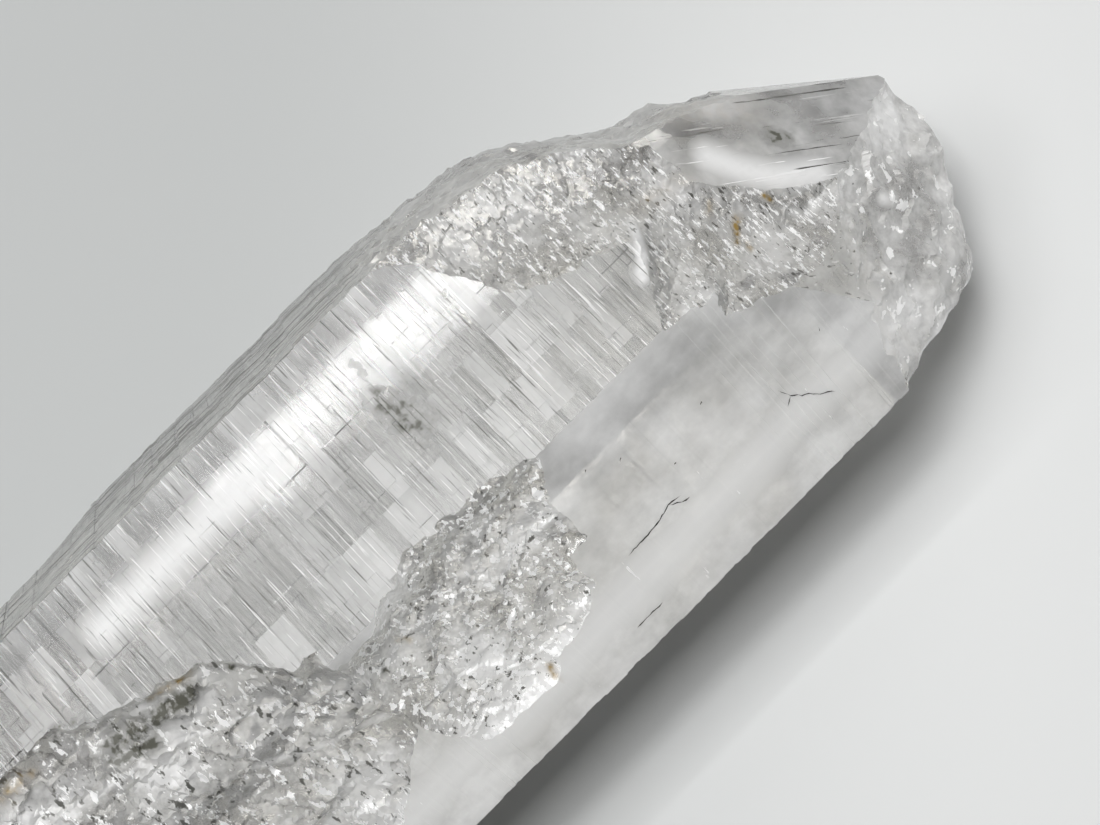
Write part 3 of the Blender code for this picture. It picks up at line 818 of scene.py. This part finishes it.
def break_cutter(broken, grain, material):
    """Closed solid whose rough underside is the broken surface to leave."""
    frame = frame_of(*broken.facing)
    corners = np.array(broken.outline)
    low = corners.min(axis=0) - CUTTER_MARGIN
    high = corners.max(axis=0) + CUTTER_MARGIN
    spacing = grain * broken.grain
    count_u, count_v = (int(n) for n in np.ceil((high - low) / spacing) + 1)
    u, v = np.meshgrid(np.linspace(low[0], high[0], count_u),
                       np.linspace(low[1], high[1], count_v), indexing="ij")
    i, j = np.meshgrid(np.arange(count_u), np.arange(count_v), indexing="ij")
    inner = (i > 0) & (i < count_u - 1) & (j > 0) & (j < count_v - 1)
    jitter = inner * GRAIN_JITTER * spacing
    u = u + jitter * (hashed(i, j, ALONG_SEED) - 0.5)
    v = v + jitter * (hashed(i, j, ACROSS_SEED) - 0.5)

    inset = inside_distance(u, v, broken.outline)
    for height, size, seed in EDGE_WOBBLES:
        inset = inset + height * lumps(u, v, size, seed)
    sunk = np.clip(inset, 0.0, None)
    rounding = np.clip(ROUNDING_SLOPE * sunk, SHARP_EDGE, broken.rounding)
    floor = unbroken_height(u, v, frame, rounding, broken.follows)
    floor = floor - broken.depth(sunk, u, v)
    above = unbroken_height(u, v, frame, SHARP_EDGE, FACES) + CUTTER_GAP - CUTTER_RISE * inset
    height = np.where(inset > 0.0, floor, above)

    along, across, out = frame
    flat = u[..., None] * along + v[..., None] * across
    lower = (flat + height[..., None] * out).reshape(-1, 3)
    rim = ([(a, 0) for a in range(count_u)]
           + [(count_u - 1, b) for b in range(1, count_v)]
           + [(a, count_v - 1) for a in range(count_u - 2, -1, -1)]
           + [(0, b) for b in range(count_v - 2, 0, -1)])
    roof_height = (height.max() + CUTTER_HEADROOM) * out
    upper = np.array([flat[a, b] + roof_height for a, b in rim])
    bottom = [a * count_v + b for a, b in rim]
    top = [len(lower) + k for k in range(len(rim))]
    faces = [tuple(top)]
    for k in range(len(rim)):
        following = (k + 1) % len(rim)
        faces.append((bottom[k], bottom[following], top[following], top[k]))
    turned = hashed(i, j, SPLIT_SEED) > 0.5
    for a in range(count_u - 1):
        for b in range(count_v - 1):
            p = a * count_v + b
            q, t = p + count_v, p + 1
            r = q + 1
            if turned[a, b]:
                faces.extend(((p, r, q), (p, t, r)))
            else:
                faces.extend(((p, t, q), (q, t, r)))
    mesh = bpy.data.meshes.new(broken.name)
    mesh.from_pydata(np.vstack((lower, upper)).tolist(), [], faces)
    bm = bmesh.new()
    bm.from_mesh(mesh)
    bpy.data.meshes.remove(mesh)
    bmesh.ops.recalc_face_normals(bm, faces=bm.faces[:])
    item = mesh_object(broken.name, bm)
    item.data.materials.append(material)
    return item


# ================================================================== assembly
def mesh_object(name, bm):
    """Put a finished bmesh into the scene as an object."""
    mesh = bpy.data.meshes.new(name)
    bm.to_mesh(mesh)
    bm.free()
    item = bpy.data.objects.new(name, mesh)
    bpy.context.scene.collection.objects.link(item)
    return item


def subtract(target, cutter):
    """Cut one solid out of another, keeping the cutter's material on the
    cut, and remove the cutter."""
    modifier = target.modifiers.new("break", "BOOLEAN")
    modifier.operation = "DIFFERENCE"
    modifier.solver = "EXACT"
    modifier.material_mode = "TRANSFER"
    modifier.object = cutter
    graph = bpy.context.evaluated_depsgraph_get()
    result = bpy.data.meshes.new_from_object(target.evaluated_get(graph))
    target.modifiers.clear()
    old = target.data
    target.data = result
    bpy.data.meshes.remove(old)
    bpy.data.objects.remove(cutter)


def keep_largest_piece(bm):
    """Drop any crumbs that the breaks cut loose."""
    left = set(bm.verts)
    pieces = []
    while left:
        reached = {left.pop()}
        edge_of_piece = list(reached)
        while edge_of_piece:
            vert = edge_of_piece.pop()
            for edge in vert.link_edges:
                other = edge.other_vert(vert)
                if other not in reached:
                    reached.add(other)
                    edge_of_piece.append(other)
        left -= reached
        pieces.append(reached)
    pieces.sort(key=len)
    for piece in pieces[:-1]:
        bmesh.ops.delete(bm, geom=list(piece), context="VERTS")


def smooth_breaks(mesh):
    """Shade the broken surfaces smooth and leave the grown faces flat."""
    mesh.set_sharp_from_angle(angle=SMOOTH_ANGLE)
    indices = np.empty(len(mesh.polygons), dtype=np.int32)
    mesh.polygons.foreach_get("material_index", indices)
    mesh.polygons.foreach_set("use_smooth", indices >= GROWN_LOOKS)


def film_over(crystal, name):
    """Copy of the crystal's surface, lifted a hair above it."""
    bm = bmesh.new()
    bm.from_mesh(crystal.data)
    bm.normal_update()
    for vert in bm.verts:
        vert.co += vert.normal * FILM_LIFT * MM
    grown = with_rims([face for face in bm.faces
                       if face.material_index < GROWN_LOOKS and face.normal.z > FILM_UP])
    for (start, end), direction in FILM_CELLS:
        places = np.arange(start, end, FILM_CELL) * MM
        grown = slice_along(bm, grown, places, np.array(direction))
    film = mesh_object(name, bm)
    film.data.set_sharp_from_angle(angle=SMOOTH_ANGLE)
    for label, marks in (("stain", STAINS), ("dark_patch", DARK_PATCHES), ("painted_highlight", PAINTED_HIGHLIGHTS)):
        store(film.data, label, strength_near(film.data, marks))
    return film


def store(mesh, label, values):
    """Store one number for each vertex of a mesh."""
    attribute = mesh.attributes.new(label, "FLOAT", "POINT")
    attribute.data.foreach_set("value", np.asarray(values, dtype=np.float32).ravel())


def strength_near(mesh, marks):
    """How strong some marks are at each vertex of a mesh."""
    along, across, out = frame_of(60, 0.0)
    places = np.empty(3 * len(mesh.vertices))
    mesh.vertices.foreach_get("co", places)
    places = places.reshape(-1, 3) / MM - CENTRE
    u = places @ along
    v = places @ across
    strength = np.zeros(len(places))
    for radius, most, points in marks:
        for (u0, v0), (u1, v1) in zip(points, points[1:]):
            du = u1 - u0
            dv = v1 - v0
            part = np.clip(((u - u0) * du + (v - v0) * dv) / (du * du + dv * dv), 0.0, 1.0)
            apart = np.hypot(u - u0 - part * du, v - v0 - part * dv)
            strength = np.maximum(strength, most * np.exp(-(apart / radius) ** 2))
    return strength * (places @ out > 0.0)


def jagged(points, jag, seed):
    """Points of a path with uneven steps put in between them."""
    path = []
    for k, (start, end) in enumerate(zip(points, points[1:])):
        count = max(2, int(math.dist(start, end) / CRACK_STEP))
        for step in range(count):
            part = step / count
            shift = jag * (float(hashed(step, k, seed)) - 0.5) * (step > 0)
            path.append((start[0] + part * (end[0] - start[0]) + shift,
                         start[1] + part * (end[1] - start[1]) + shift))
    path.append(points[-1])
    return path


def crack_mesh(bm, points, seed):
    """Add one dark sliver along the front face."""
    along, across, out = frame_of(60, 0.0)
    face_normal, face_distance = PLANES["front"]
    side = np.cross(face_normal, (1.0, 0.0, 0.0))
    path = jagged(points, CRACK_JAG, seed)
    last = None
    for k, (u, v) in enumerate(path):
        flat = u * along + v * across
        rise = (face_distance + CRACK_LIFT - face_normal.dot(flat)) / face_normal.dot(out)
        middle = CENTRE + flat + rise * out
        inner = 0 < k < len(path) - 1
        half = 0.5 * CRACK_WIDTH * inner * (CRACK_THINNEST + float(hashed(k, 1, seed)))
        pair = [bm.verts.new((middle + half * side) * MM),
                bm.verts.new((middle - half * side) * MM)]
        if last:
            bm.faces.new((last[0], last[1], pair[1], pair[0]))
        last = pair


# ================================================================= materials
def node_group(name, inputs, outputs):
    """Empty shader node group with number or vector sockets."""
    group = bpy.data.node_groups.new(name, "ShaderNodeTree")
    for label, kind in inputs:
        group.interface.new_socket(label, in_out="INPUT", socket_type=kind)
    for label, kind in outputs:
        group.interface.new_socket(label, in_out="OUTPUT", socket_type=kind)
    return group, group.nodes.new("NodeGroupInput"), group.nodes.new("NodeGroupOutput")


def math_node(tree, operation, *values):
    """Math node fed with numbers or sockets; gives back its result."""
    node = tree.nodes.new("ShaderNodeMath")
    node.operation = operation
    for socket, value in zip(node.inputs, values):
        if isinstance(value, (int, float)):
            socket.default_value = value
        else:
            tree.links.new(value, socket)
    return node.outputs[0]


def vector_node(tree, operation, *values):
    """Vector math node fed with vectors or sockets; gives back the node."""
    node = tree.nodes.new("ShaderNodeVectorMath")
    node.operation = operation
    for socket, value in zip(node.inputs, values):
        if isinstance(value, tuple):
            socket.default_value = value
        else:
            tree.links.new(value, socket)
    return node


def noise(tree, place, scale, detail, ragged=0.5):
    """Noise at a place; gives back the socket of its value."""
    node = tree.nodes.new("ShaderNodeTexNoise")
    node.inputs["Scale"].default_value = scale
    node.inputs["Detail"].default_value = detail
    node.inputs["Roughness"].default_value = ragged
    tree.links.new(place, node.inputs["Vector"])
    return node.outputs[0]


def ranged(tree, value, source, target=(0.0, 1.0), interpolation="LINEAR"):
    """Value moved from one range to another, and kept within it."""
    node = tree.nodes.new("ShaderNodeMapRange")
    node.interpolation_type = interpolation
    node.inputs["From Min"].default_value, node.inputs["From Max"].default_value = source
    node.inputs["To Min"].default_value, node.inputs["To Max"].default_value = target
    tree.links.new(value, node.inputs["Value"])
    return node.outputs["Result"]


def clamped(tree, value):
    """Value kept between 0 and 1."""
    node = tree.nodes.new("ShaderNodeClamp")
    tree.links.new(value, node.inputs["Value"])
    return node.outputs[0]


def mixed_colour(tree, share, first, second):
    """Mix of two colours, given as values or sockets."""
    mix = tree.nodes.new("ShaderNodeMix")
    mix.data_type = "RGBA"
    colours = [socket for socket in mix.inputs if socket.type == "RGBA"]
    tree.links.new(share, mix.inputs["Factor"])
    for socket, colour in zip(colours, (first, second)):
        if isinstance(colour, bpy.types.NodeSocket):
            tree.links.new(colour, socket)
        else:
            socket.default_value = (*colour, 1.0)
    return next(socket for socket in mix.outputs if socket.type == "RGBA")


def random_blocks(tree, place):
    """A value from 0 to 1 for each rectangular block of a face."""
    cells = vector_node(tree, "FLOOR", place)
    blocks = tree.nodes.new("ShaderNodeTexWhiteNoise")
    tree.links.new(cells.outputs[0], blocks.inputs["Vector"])
    return blocks.outputs["Value"]


def striation_group():
    """Painted shade: light and dark streaks that run across the crystal, some in blocks."""
    group, start, end = node_group("striation_shade", [("Place", "NodeSocketVector")],
                                   [("Shade", "NodeSocketFloat")])
    place = start.outputs["Place"]
    total = 0.0
    for along, across, share in STREAKS:
        scaled = vector_node(group, "MULTIPLY", place, (along, across, across))
        streaks = noise(group, scaled.outputs[0], 1.0, STREAK_DETAIL)
        total = math_node(group, "MULTIPLY_ADD", streaks, share, total)
    blocks = random_blocks(group, vector_node(group, "MULTIPLY", place, BLOCK_RATES).outputs[0])
    total = math_node(group, "MULTIPLY_ADD", blocks, BLOCK_SHARE, total)
    group.links.new(total, end.inputs["Shade"])
    return group


def wisp_group():
    """Cloudy patches with soft ragged edges, and the speckle of their grain."""
    inputs = [("Place", "NodeSocketVector"), ("Grain", "NodeSocketFloat")]
    outputs = [("Mask", "NodeSocketFloat"), ("Speckle", "NodeSocketFloat")]
    group, start, end = node_group("wisps", inputs, outputs)
    place = start.outputs["Place"]
    patches = noise(group, place, PATCH_SCALE, PATCH_DETAIL, PATCH_RAGGED)
    grain = noise(group, place, GRAIN_SCALE, GRAIN_DETAIL)
    level = math_node(group, "SUBTRACT", grain, GRAIN_MIDDLE)
    total = math_node(group, "MULTIPLY_ADD", level, start.outputs["Grain"], patches)
    mask = ranged(group, total, (PATCH_LOW, PATCH_HIGH))
    speckle = ranged(group, grain, (SPECKLE_LOW, SPECKLE_HIGH), (SPECKLE_LEAST, 1.0))
    group.links.new(mask, end.inputs["Mask"])
    group.links.new(speckle, end.inputs["Speckle"])
    return group


def marks_group():
    """Light and dark marks, one kind of noise cut off at two levels."""
    inputs = [("Place", "NodeSocketVector"), ("Light from", "NodeSocketFloat"),
              ("Dark from", "NodeSocketFloat")]
    outputs = [("Light", "NodeSocketFloat"), ("Dark", "NodeSocketFloat")]
    group, start, end = node_group("marks", inputs, outputs)
    for label, shift in MARK_SHIFTS:
        shifted = vector_node(group, "ADD", start.outputs["Place"], shift)
        level = noise(group, shifted.outputs[0], 1.0, MARK_DETAIL, MARK_RAGGED)
        above = math_node(group, "SUBTRACT", level, start.outputs[label + " from"])
        share = math_node(group, "DIVIDE", above, MARK_EDGE)
        group.links.new(clamped(group, share), end.inputs[label])
    return group


def millimetre_place(tree, stretch, place=None):
    """Place on the crystal in millimetres, stretched along each axis."""
    if place is None:
        place = tree.nodes.new("ShaderNodeTexCoord").outputs["Object"]
    scale = tuple(part / MM for part in stretch)
    return vector_node(tree, "MULTIPLY", place, scale).outputs[0]


def turned_place(tree):
    """Place measured along the point's longest edge, across it and outward."""
    place = tree.nodes.new("ShaderNodeTexCoord").outputs["Object"]
    along = np.array(POINT_EDGE) / np.linalg.norm(POINT_EDGE)
    out = PLANES["point_top"][0]
    turned = tree.nodes.new("ShaderNodeCombineXYZ")
    for k, direction in enumerate((along, np.cross(out, along), out)):
        part = vector_node(tree, "DOT_PRODUCT", place, tuple(direction))
        tree.links.new(part.outputs["Value"], turned.inputs[k])
    return turned.outputs[0]


def attribute_value(tree, name):
    """Socket that gives a number stored on the mesh."""
    node = tree.nodes.new("ShaderNodeAttribute")
    node.attribute_name = name
    return node.outputs["Fac"]


def new_material(name, roughness):
    """Material with a Principled surface alone; gives back its tree and shader."""
    material = bpy.data.materials.new(name)
    material.use_nodes = True
    tree = material.node_tree
    tree.nodes.clear()
    output = tree.nodes.new("ShaderNodeOutputMaterial")
    shader = tree.nodes.new("ShaderNodeBsdfPrincipled")
    shader.inputs["Roughness"].default_value = roughness
    tree.links.new(shader.outputs["BSDF"], output.inputs["Surface"])
    return material, tree, shader


def quartz(name, colour, roughness, clearness):
    """Quartz that light goes through, tinted a little by its depth."""
    material, tree, shader = new_material(name, roughness)
    shader.inputs["Base Color"].default_value = (*colour, 1.0)
    shader.inputs["IOR"].default_value = QUARTZ_IOR
    shader.inputs["Transmission Weight"].default_value = clearness
    absorb = tree.nodes.new("ShaderNodeVolumeAbsorption")
    absorb.inputs["Color"].default_value = (*DEPTH_TINT, 1.0)
    absorb.inputs["Density"].default_value = DEPTH_DENSITY
    output = tree.nodes["Material Output"]
    tree.links.new(absorb.outputs["Volume"], output.inputs["Volume"])
    return material, tree, shader


def smooth_quartz(name, colours):
    """Smooth grown faces."""
    return quartz(name, colours.clear, SMOOTH_ROUGHNESS, CLEARNESS)[0]


def striated_quartz(colours):
    """Grown faces with fine growth lines across them, painted as shade into their tint."""
    material, tree, shader = quartz("quartz_striated", colours.clear, STRIATED_ROUGHNESS,
                                    CLEARNESS)
    lines = tree.nodes.new("ShaderNodeGroup")
    lines.node_tree = striation_group()
    tree.links.new(millimetre_place(tree, (1.0, 1.0, 1.0)), lines.inputs["Place"])
    shade = ranged(tree, lines.outputs["Shade"], (STREAK_LOW, STREAK_HIGH))
    tint = mixed_colour(tree, shade, colours.streak_shade, colours.clear)
    tree.links.new(tint, shader.inputs["Base Color"])
    return material


def film_marks(tree, film, marks):
    """Sockets of the light and dark marks on a film."""
    cut_marks = tree.nodes.new("ShaderNodeGroup")
    cut_marks.node_tree = marks
    cut_marks.inputs["Light from"].default_value = film.light[0]
    cut_marks.inputs["Dark from"].default_value = film.dark[0]
    place = turned_place(tree) if film.name == "haze_and_reflections_point" else None
    tree.links.new(millimetre_place(tree, film.stretch, place), cut_marks.inputs["Place"])
    return cut_marks.outputs["Light"], cut_marks.outputs["Dark"]


def film_haze(tree, film, wisps):
    """Sockets of the amount of haze on a film, and of its speckle."""
    patches = tree.nodes.new("ShaderNodeGroup")
    patches.node_tree = wisps
    patches.inputs["Grain"].default_value = film.grain
    tree.links.new(millimetre_place(tree, (1.0, 1.0, 1.0)), patches.inputs["Place"])
    amount = ranged(tree, patches.outputs["Mask"], (0.0, 1.0), film.haze)
    if film.blocks:
        blocks = random_blocks(tree, millimetre_place(tree, BLOCK_RATES))
        block = math_node(tree, "POWER", blocks, BLOCK_POWER)
        amount = math_node(tree, "MULTIPLY_ADD", block, film.blocks, amount)
    return amount, patches.outputs["Speckle"]


def film_material(film, marks, wisps, colours):
    """Thin film with its light and dark marks, haze, blocks, stain, dark patches, painted
    highlights and painted glow.
    """
    material, tree, shader = new_material(film.name, FILM_ROUGHNESS)
    material.cycles.emission_sampling = "NONE"
    # Painted glow: the film shines in its own colour, standing in for light scattered inside
    # the clear body.
    shader.inputs["Emission Strength"].default_value = film.painted_glow
    light, dark = film_marks(tree, film, marks)
    amount, speckle = film_haze(tree, film, wisps)
    # Dark marks are painted shade.
    colour = mixed_colour(tree, dark, colours.haze, colours.mark_shade)
    amount = math_node(tree, "MAXIMUM", amount, math_node(
        tree, "MAXIMUM", math_node(tree, "MULTIPLY", light, film.light[1]),
        math_node(tree, "MULTIPLY", dark, film.dark[1])))
    # Painted highlights: white strokes where light glints and is reflected.
    painted_highlight = math_node(tree, "MULTIPLY", attribute_value(tree, "painted_highlight"),
                       math_node(tree, "ADD", light, STROKE_BASE))
    amount = math_node(tree, "MAXIMUM", amount, math_node(tree, "MINIMUM", painted_highlight, MOST_WHITE))
    for name, tint in (("stain", colours.stain), ("dark_patch", colours.dark_patch)):
        share = clamped(tree, math_node(tree, "MULTIPLY", attribute_value(tree, name), speckle))
        colour = mixed_colour(tree, share, colour, tint)
        amount = math_node(tree, "MAXIMUM", amount, share)
    tree.links.new(colour, shader.inputs["Base Color"])
    tree.links.new(colour, shader.inputs["Emission Color"])
    tree.links.new(amount, shader.inputs["Alpha"])
    return material


def crack_material(colours):
    """Dark dirt and shadow in a hairline crack."""
    material, tree, shader = new_material("crack", CRACK_ROUGHNESS)
    shader.inputs["Base Color"].default_value = (*colours.crack, 1.0)
    return material


def floor_material(stage):
    """Plain matt floor, its colour painted brighter towards the front and darker behind as
    painted shade.
    """
    material, tree, shader = new_material("pale_floor", FLOOR_ROUGHNESS)
    place = tree.nodes.new("ShaderNodeTexCoord").outputs["Object"]
    across = vector_node(tree, "DOT_PRODUCT", place, FLOOR_ACROSS).outputs["Value"]
    shade = ranged(tree, across, (FLOOR_SHADE_START, FLOOR_SHADE_END),
                   interpolation="SMOOTHSTEP")
    tint = mixed_colour(tree, shade, stage.shaded_far_floor, stage.floor)
    tree.links.new(tint, shader.inputs["Base Color"])
    return material


# ================================================================= operators
class QUARTZ_OT_crystal(bpy.types.Operator):
    """Grow the clear crystal, step its faces and break it"""
    bl_idname = "quartz.crystal"
    bl_label = "Clear crystal"

    def execute(self, context):
        shape = context.scene.quartz_shape
        colours = context.scene.quartz_colours
        grown = (smooth_quartz("quartz_clear", colours), striated_quartz(colours),
                 smooth_quartz("quartz_point", colours),
                 smooth_quartz("quartz_back", colours))
        looks = {name: quartz(name, colours.frosted, roughness, clearness)[0]
                 for name, roughness, clearness in BROKEN_LOOKS}
        bm = whole_crystal()
        cut_growth_steps(bm, shape.fine_depth / MM)
        crystal = mesh_object("crystal_clear", bm)
        for material in (*grown, *looks.values()):
            crystal.data.materials.append(material)
        for settings in BREAKS:
            subtract(crystal, break_cutter(settings, shape.grain / MM, looks[settings.look]))
        bm = bmesh.new()
        bm.from_mesh(crystal.data)
        keep_largest_piece(bm)
        bmesh.ops.dissolve_degenerate(bm, dist=SHORTEST_EDGE, edges=bm.edges[:])
        bmesh.ops.triangulate(bm, faces=bm.faces[:])
        for vert in bm.verts:
            vert.co = (vert.co + Vector(CENTRE)) * MM
        bm.to_mesh(crystal.data)
        bm.free()
        if len(crystal.data.polygons) < FEWEST_TRIANGLES:
            raise RuntimeError("the crystal was cut away")
        smooth_breaks(crystal.data)
        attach(crystal, "root")
        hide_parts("crystal")
        print("crystal_clear triangles:", len(crystal.data.polygons))
        return {"FINISHED"}


class QUARTZ_OT_films(bpy.types.Operator):
    """Lay growth lines, haze, frost, stains, dark patches, painted highlights and shade, and a
    painted glow over the crystal's faces
    """
    bl_idname = "quartz.films"
    bl_label = "Surface films"

    def execute(self, context):
        colours = context.scene.quartz_colours
        marks, wisps = marks_group(), wisp_group()
        film = film_over(bpy.data.objects["crystal_clear"], "surface_film")
        for settings in FILMS:
            film.data.materials.append(film_material(settings, marks, wisps, colours))
        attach(film, "root")
        film.data.calc_loop_triangles()
        print("surface_film triangles:", len(film.data.loop_triangles))
        return {"FINISHED"}


class QUARTZ_OT_cracks(bpy.types.Operator):
    """Draw the hairline cracks that reach the front face"""
    bl_idname = "quartz.cracks"
    bl_label = "Hairline cracks"

    def execute(self, context):
        bm = bmesh.new()
        for seed, points in enumerate(CRACKS):
            crack_mesh(bm, points, seed)
        cracks = mesh_object("cracks", bm)
        cracks.data.materials.append(crack_material(context.scene.quartz_colours))
        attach(cracks, "root")
        return {"FINISHED"}


class QUARTZ_OT_stage(bpy.types.Operator):
    """Lay the floor and set the lights, the surroundings and the camera"""
    bl_idname = "quartz.stage"
    bl_label = "Stage"

    def execute(self, context):
        stage = context.scene.quartz_stage
        scene = context.scene
        bm = bmesh.new()
        bmesh.ops.create_grid(bm, x_segments=1, y_segments=1, size=FLOOR_SIZE)
        floor = mesh_object("floor", bm)
        floor.location.z = -FLOOR_DROP
        floor.data.materials.append(floor_material(stage))
        area_light("key", *KEY_LIGHT, stage.key_power)
        area_light("panel", *PANEL_LIGHT, stage.panel_power)
        area_light("strip", *STRIP_LIGHT, stage.strip_power)
        scene.world = surroundings(stage)
        scene.camera = camera_above()
        scene.view_settings.view_transform = "Standard"
        scene.cycles.max_bounces = MOST_BOUNCES
        scene.cycles.diffuse_bounces = DIFFUSE_BOUNCES
        scene.cycles.glossy_bounces = GLOSSY_BOUNCES
        scene.cycles.transmission_bounces = MOST_BOUNCES
        scene.cycles.use_light_tree = False
        scene.cycles.sample_clamp_indirect = BRIGHTEST_BOUNCE
        return {"FINISHED"}


def camera_above():
    """Camera that looks down on the crystal, rolled about its own axis."""
    lens = bpy.data.cameras.new("camera")
    lens.sensor_width = CAMERA_SENSOR
    lens.lens = CAMERA_LENS
    lens.clip_start = CAMERA_NEAREST
    camera = bpy.data.objects.new("camera", lens)
    bpy.context.scene.collection.objects.link(camera)
    back = Vector((0.0, -math.cos(CAMERA_ELEVATION), math.sin(CAMERA_ELEVATION)))
    level_up = Vector((0.0, math.sin(CAMERA_ELEVATION), math.cos(CAMERA_ELEVATION)))
    level_right = Vector((1.0, 0.0, 0.0))
    right = math.cos(CAMERA_ROLL) * level_right - math.sin(CAMERA_ROLL) * level_up
    up = math.sin(CAMERA_ROLL) * level_right + math.cos(CAMERA_ROLL) * level_up
    turn = Matrix((right, up, back)).transposed()
    camera.matrix_world = (Matrix.Translation(CAMERA_TARGET + back * CAMERA_DISTANCE)
                           @ turn.to_4x4())
    return camera


def surroundings(stage):
    """Plain pale room, brighter overhead than near the floor."""
    world = bpy.data.worlds.new("surroundings")
    world.use_nodes = True
    world.cycles.sampling_method = "NONE"
    nodes, links = world.node_tree.nodes, world.node_tree.links
    background = nodes["Background"]
    place = nodes.new("ShaderNodeTexCoord")
    split = nodes.new("ShaderNodeSeparateXYZ")
    links.new(place.outputs["Generated"], split.inputs[0])
    level = ranged(world.node_tree, split.outputs["Z"], (0.0, SKY_TOP),
                   (stage.horizon, stage.zenith))
    links.new(level, background.inputs["Strength"])
    return world


def area_light(name, place, target, size, power):
    """Rectangular light at a place, facing a target."""
    data = bpy.data.lights.new(name, "AREA")
    data.shape = "RECTANGLE"
    data.size, data.size_y = size
    data.energy = power
    light = bpy.data.objects.new(name, data)
    bpy.context.scene.collection.objects.link(light)
    light.location = place
    aim = Vector(target) - Vector(place)
    out = -aim.normalized()
    along = Vector((1.0, 0.0, 0.0))
    along = (along - out * along.dot(out)).normalized()
    turn = Matrix((along, out.cross(along), out)).transposed()
    light.matrix_world = Matrix.Translation(light.location) @ turn.to_4x4()
    return light


# ===================================================================== panel
class QUARTZ_PT_panel(bpy.types.Panel):
    """Buttons for each piece"""
    bl_label = "Quartz crystal"
    bl_idname = "QUARTZ_PT_panel"
    bl_space_type = "VIEW_3D"
    bl_region_type = "UI"
    bl_category = "Quartz"

    def draw(self, context):
        column = self.layout.column()
        for operator in OPERATORS:
            column.operator(operator.bl_idname)


OPERATORS = (QUARTZ_OT_crystal, QUARTZ_OT_films, QUARTZ_OT_cracks, QUARTZ_OT_stage)
CLASSES = (QuartzShape, QuartzColours, QuartzStage, QUARTZ_PT_panel) + OPERATORS


def register():
    """Register the classes and hang their settings on the scene."""
    for item in CLASSES:
        bpy.utils.register_class(item)
    bpy.types.Scene.quartz_shape = bpy.props.PointerProperty(type=QuartzShape)
    bpy.types.Scene.quartz_colours = bpy.props.PointerProperty(type=QuartzColours)
    bpy.types.Scene.quartz_stage = bpy.props.PointerProperty(type=QuartzStage)


def unregister():
    """Take the settings off the scene and unregister the classes."""
    del bpy.types.Scene.quartz_stage
    del bpy.types.Scene.quartz_colours
    del bpy.types.Scene.quartz_shape
    for item in reversed(CLASSES):
        bpy.utils.unregister_class(item)


def main():
    """Build every piece in order and note the sizes."""
    register()
    bpy.ops.quartz.crystal()
    bpy.ops.quartz.films()
    bpy.ops.quartz.cracks()
    bpy.ops.quartz.stage()
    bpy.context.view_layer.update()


if __name__ == "__main__":
    main()
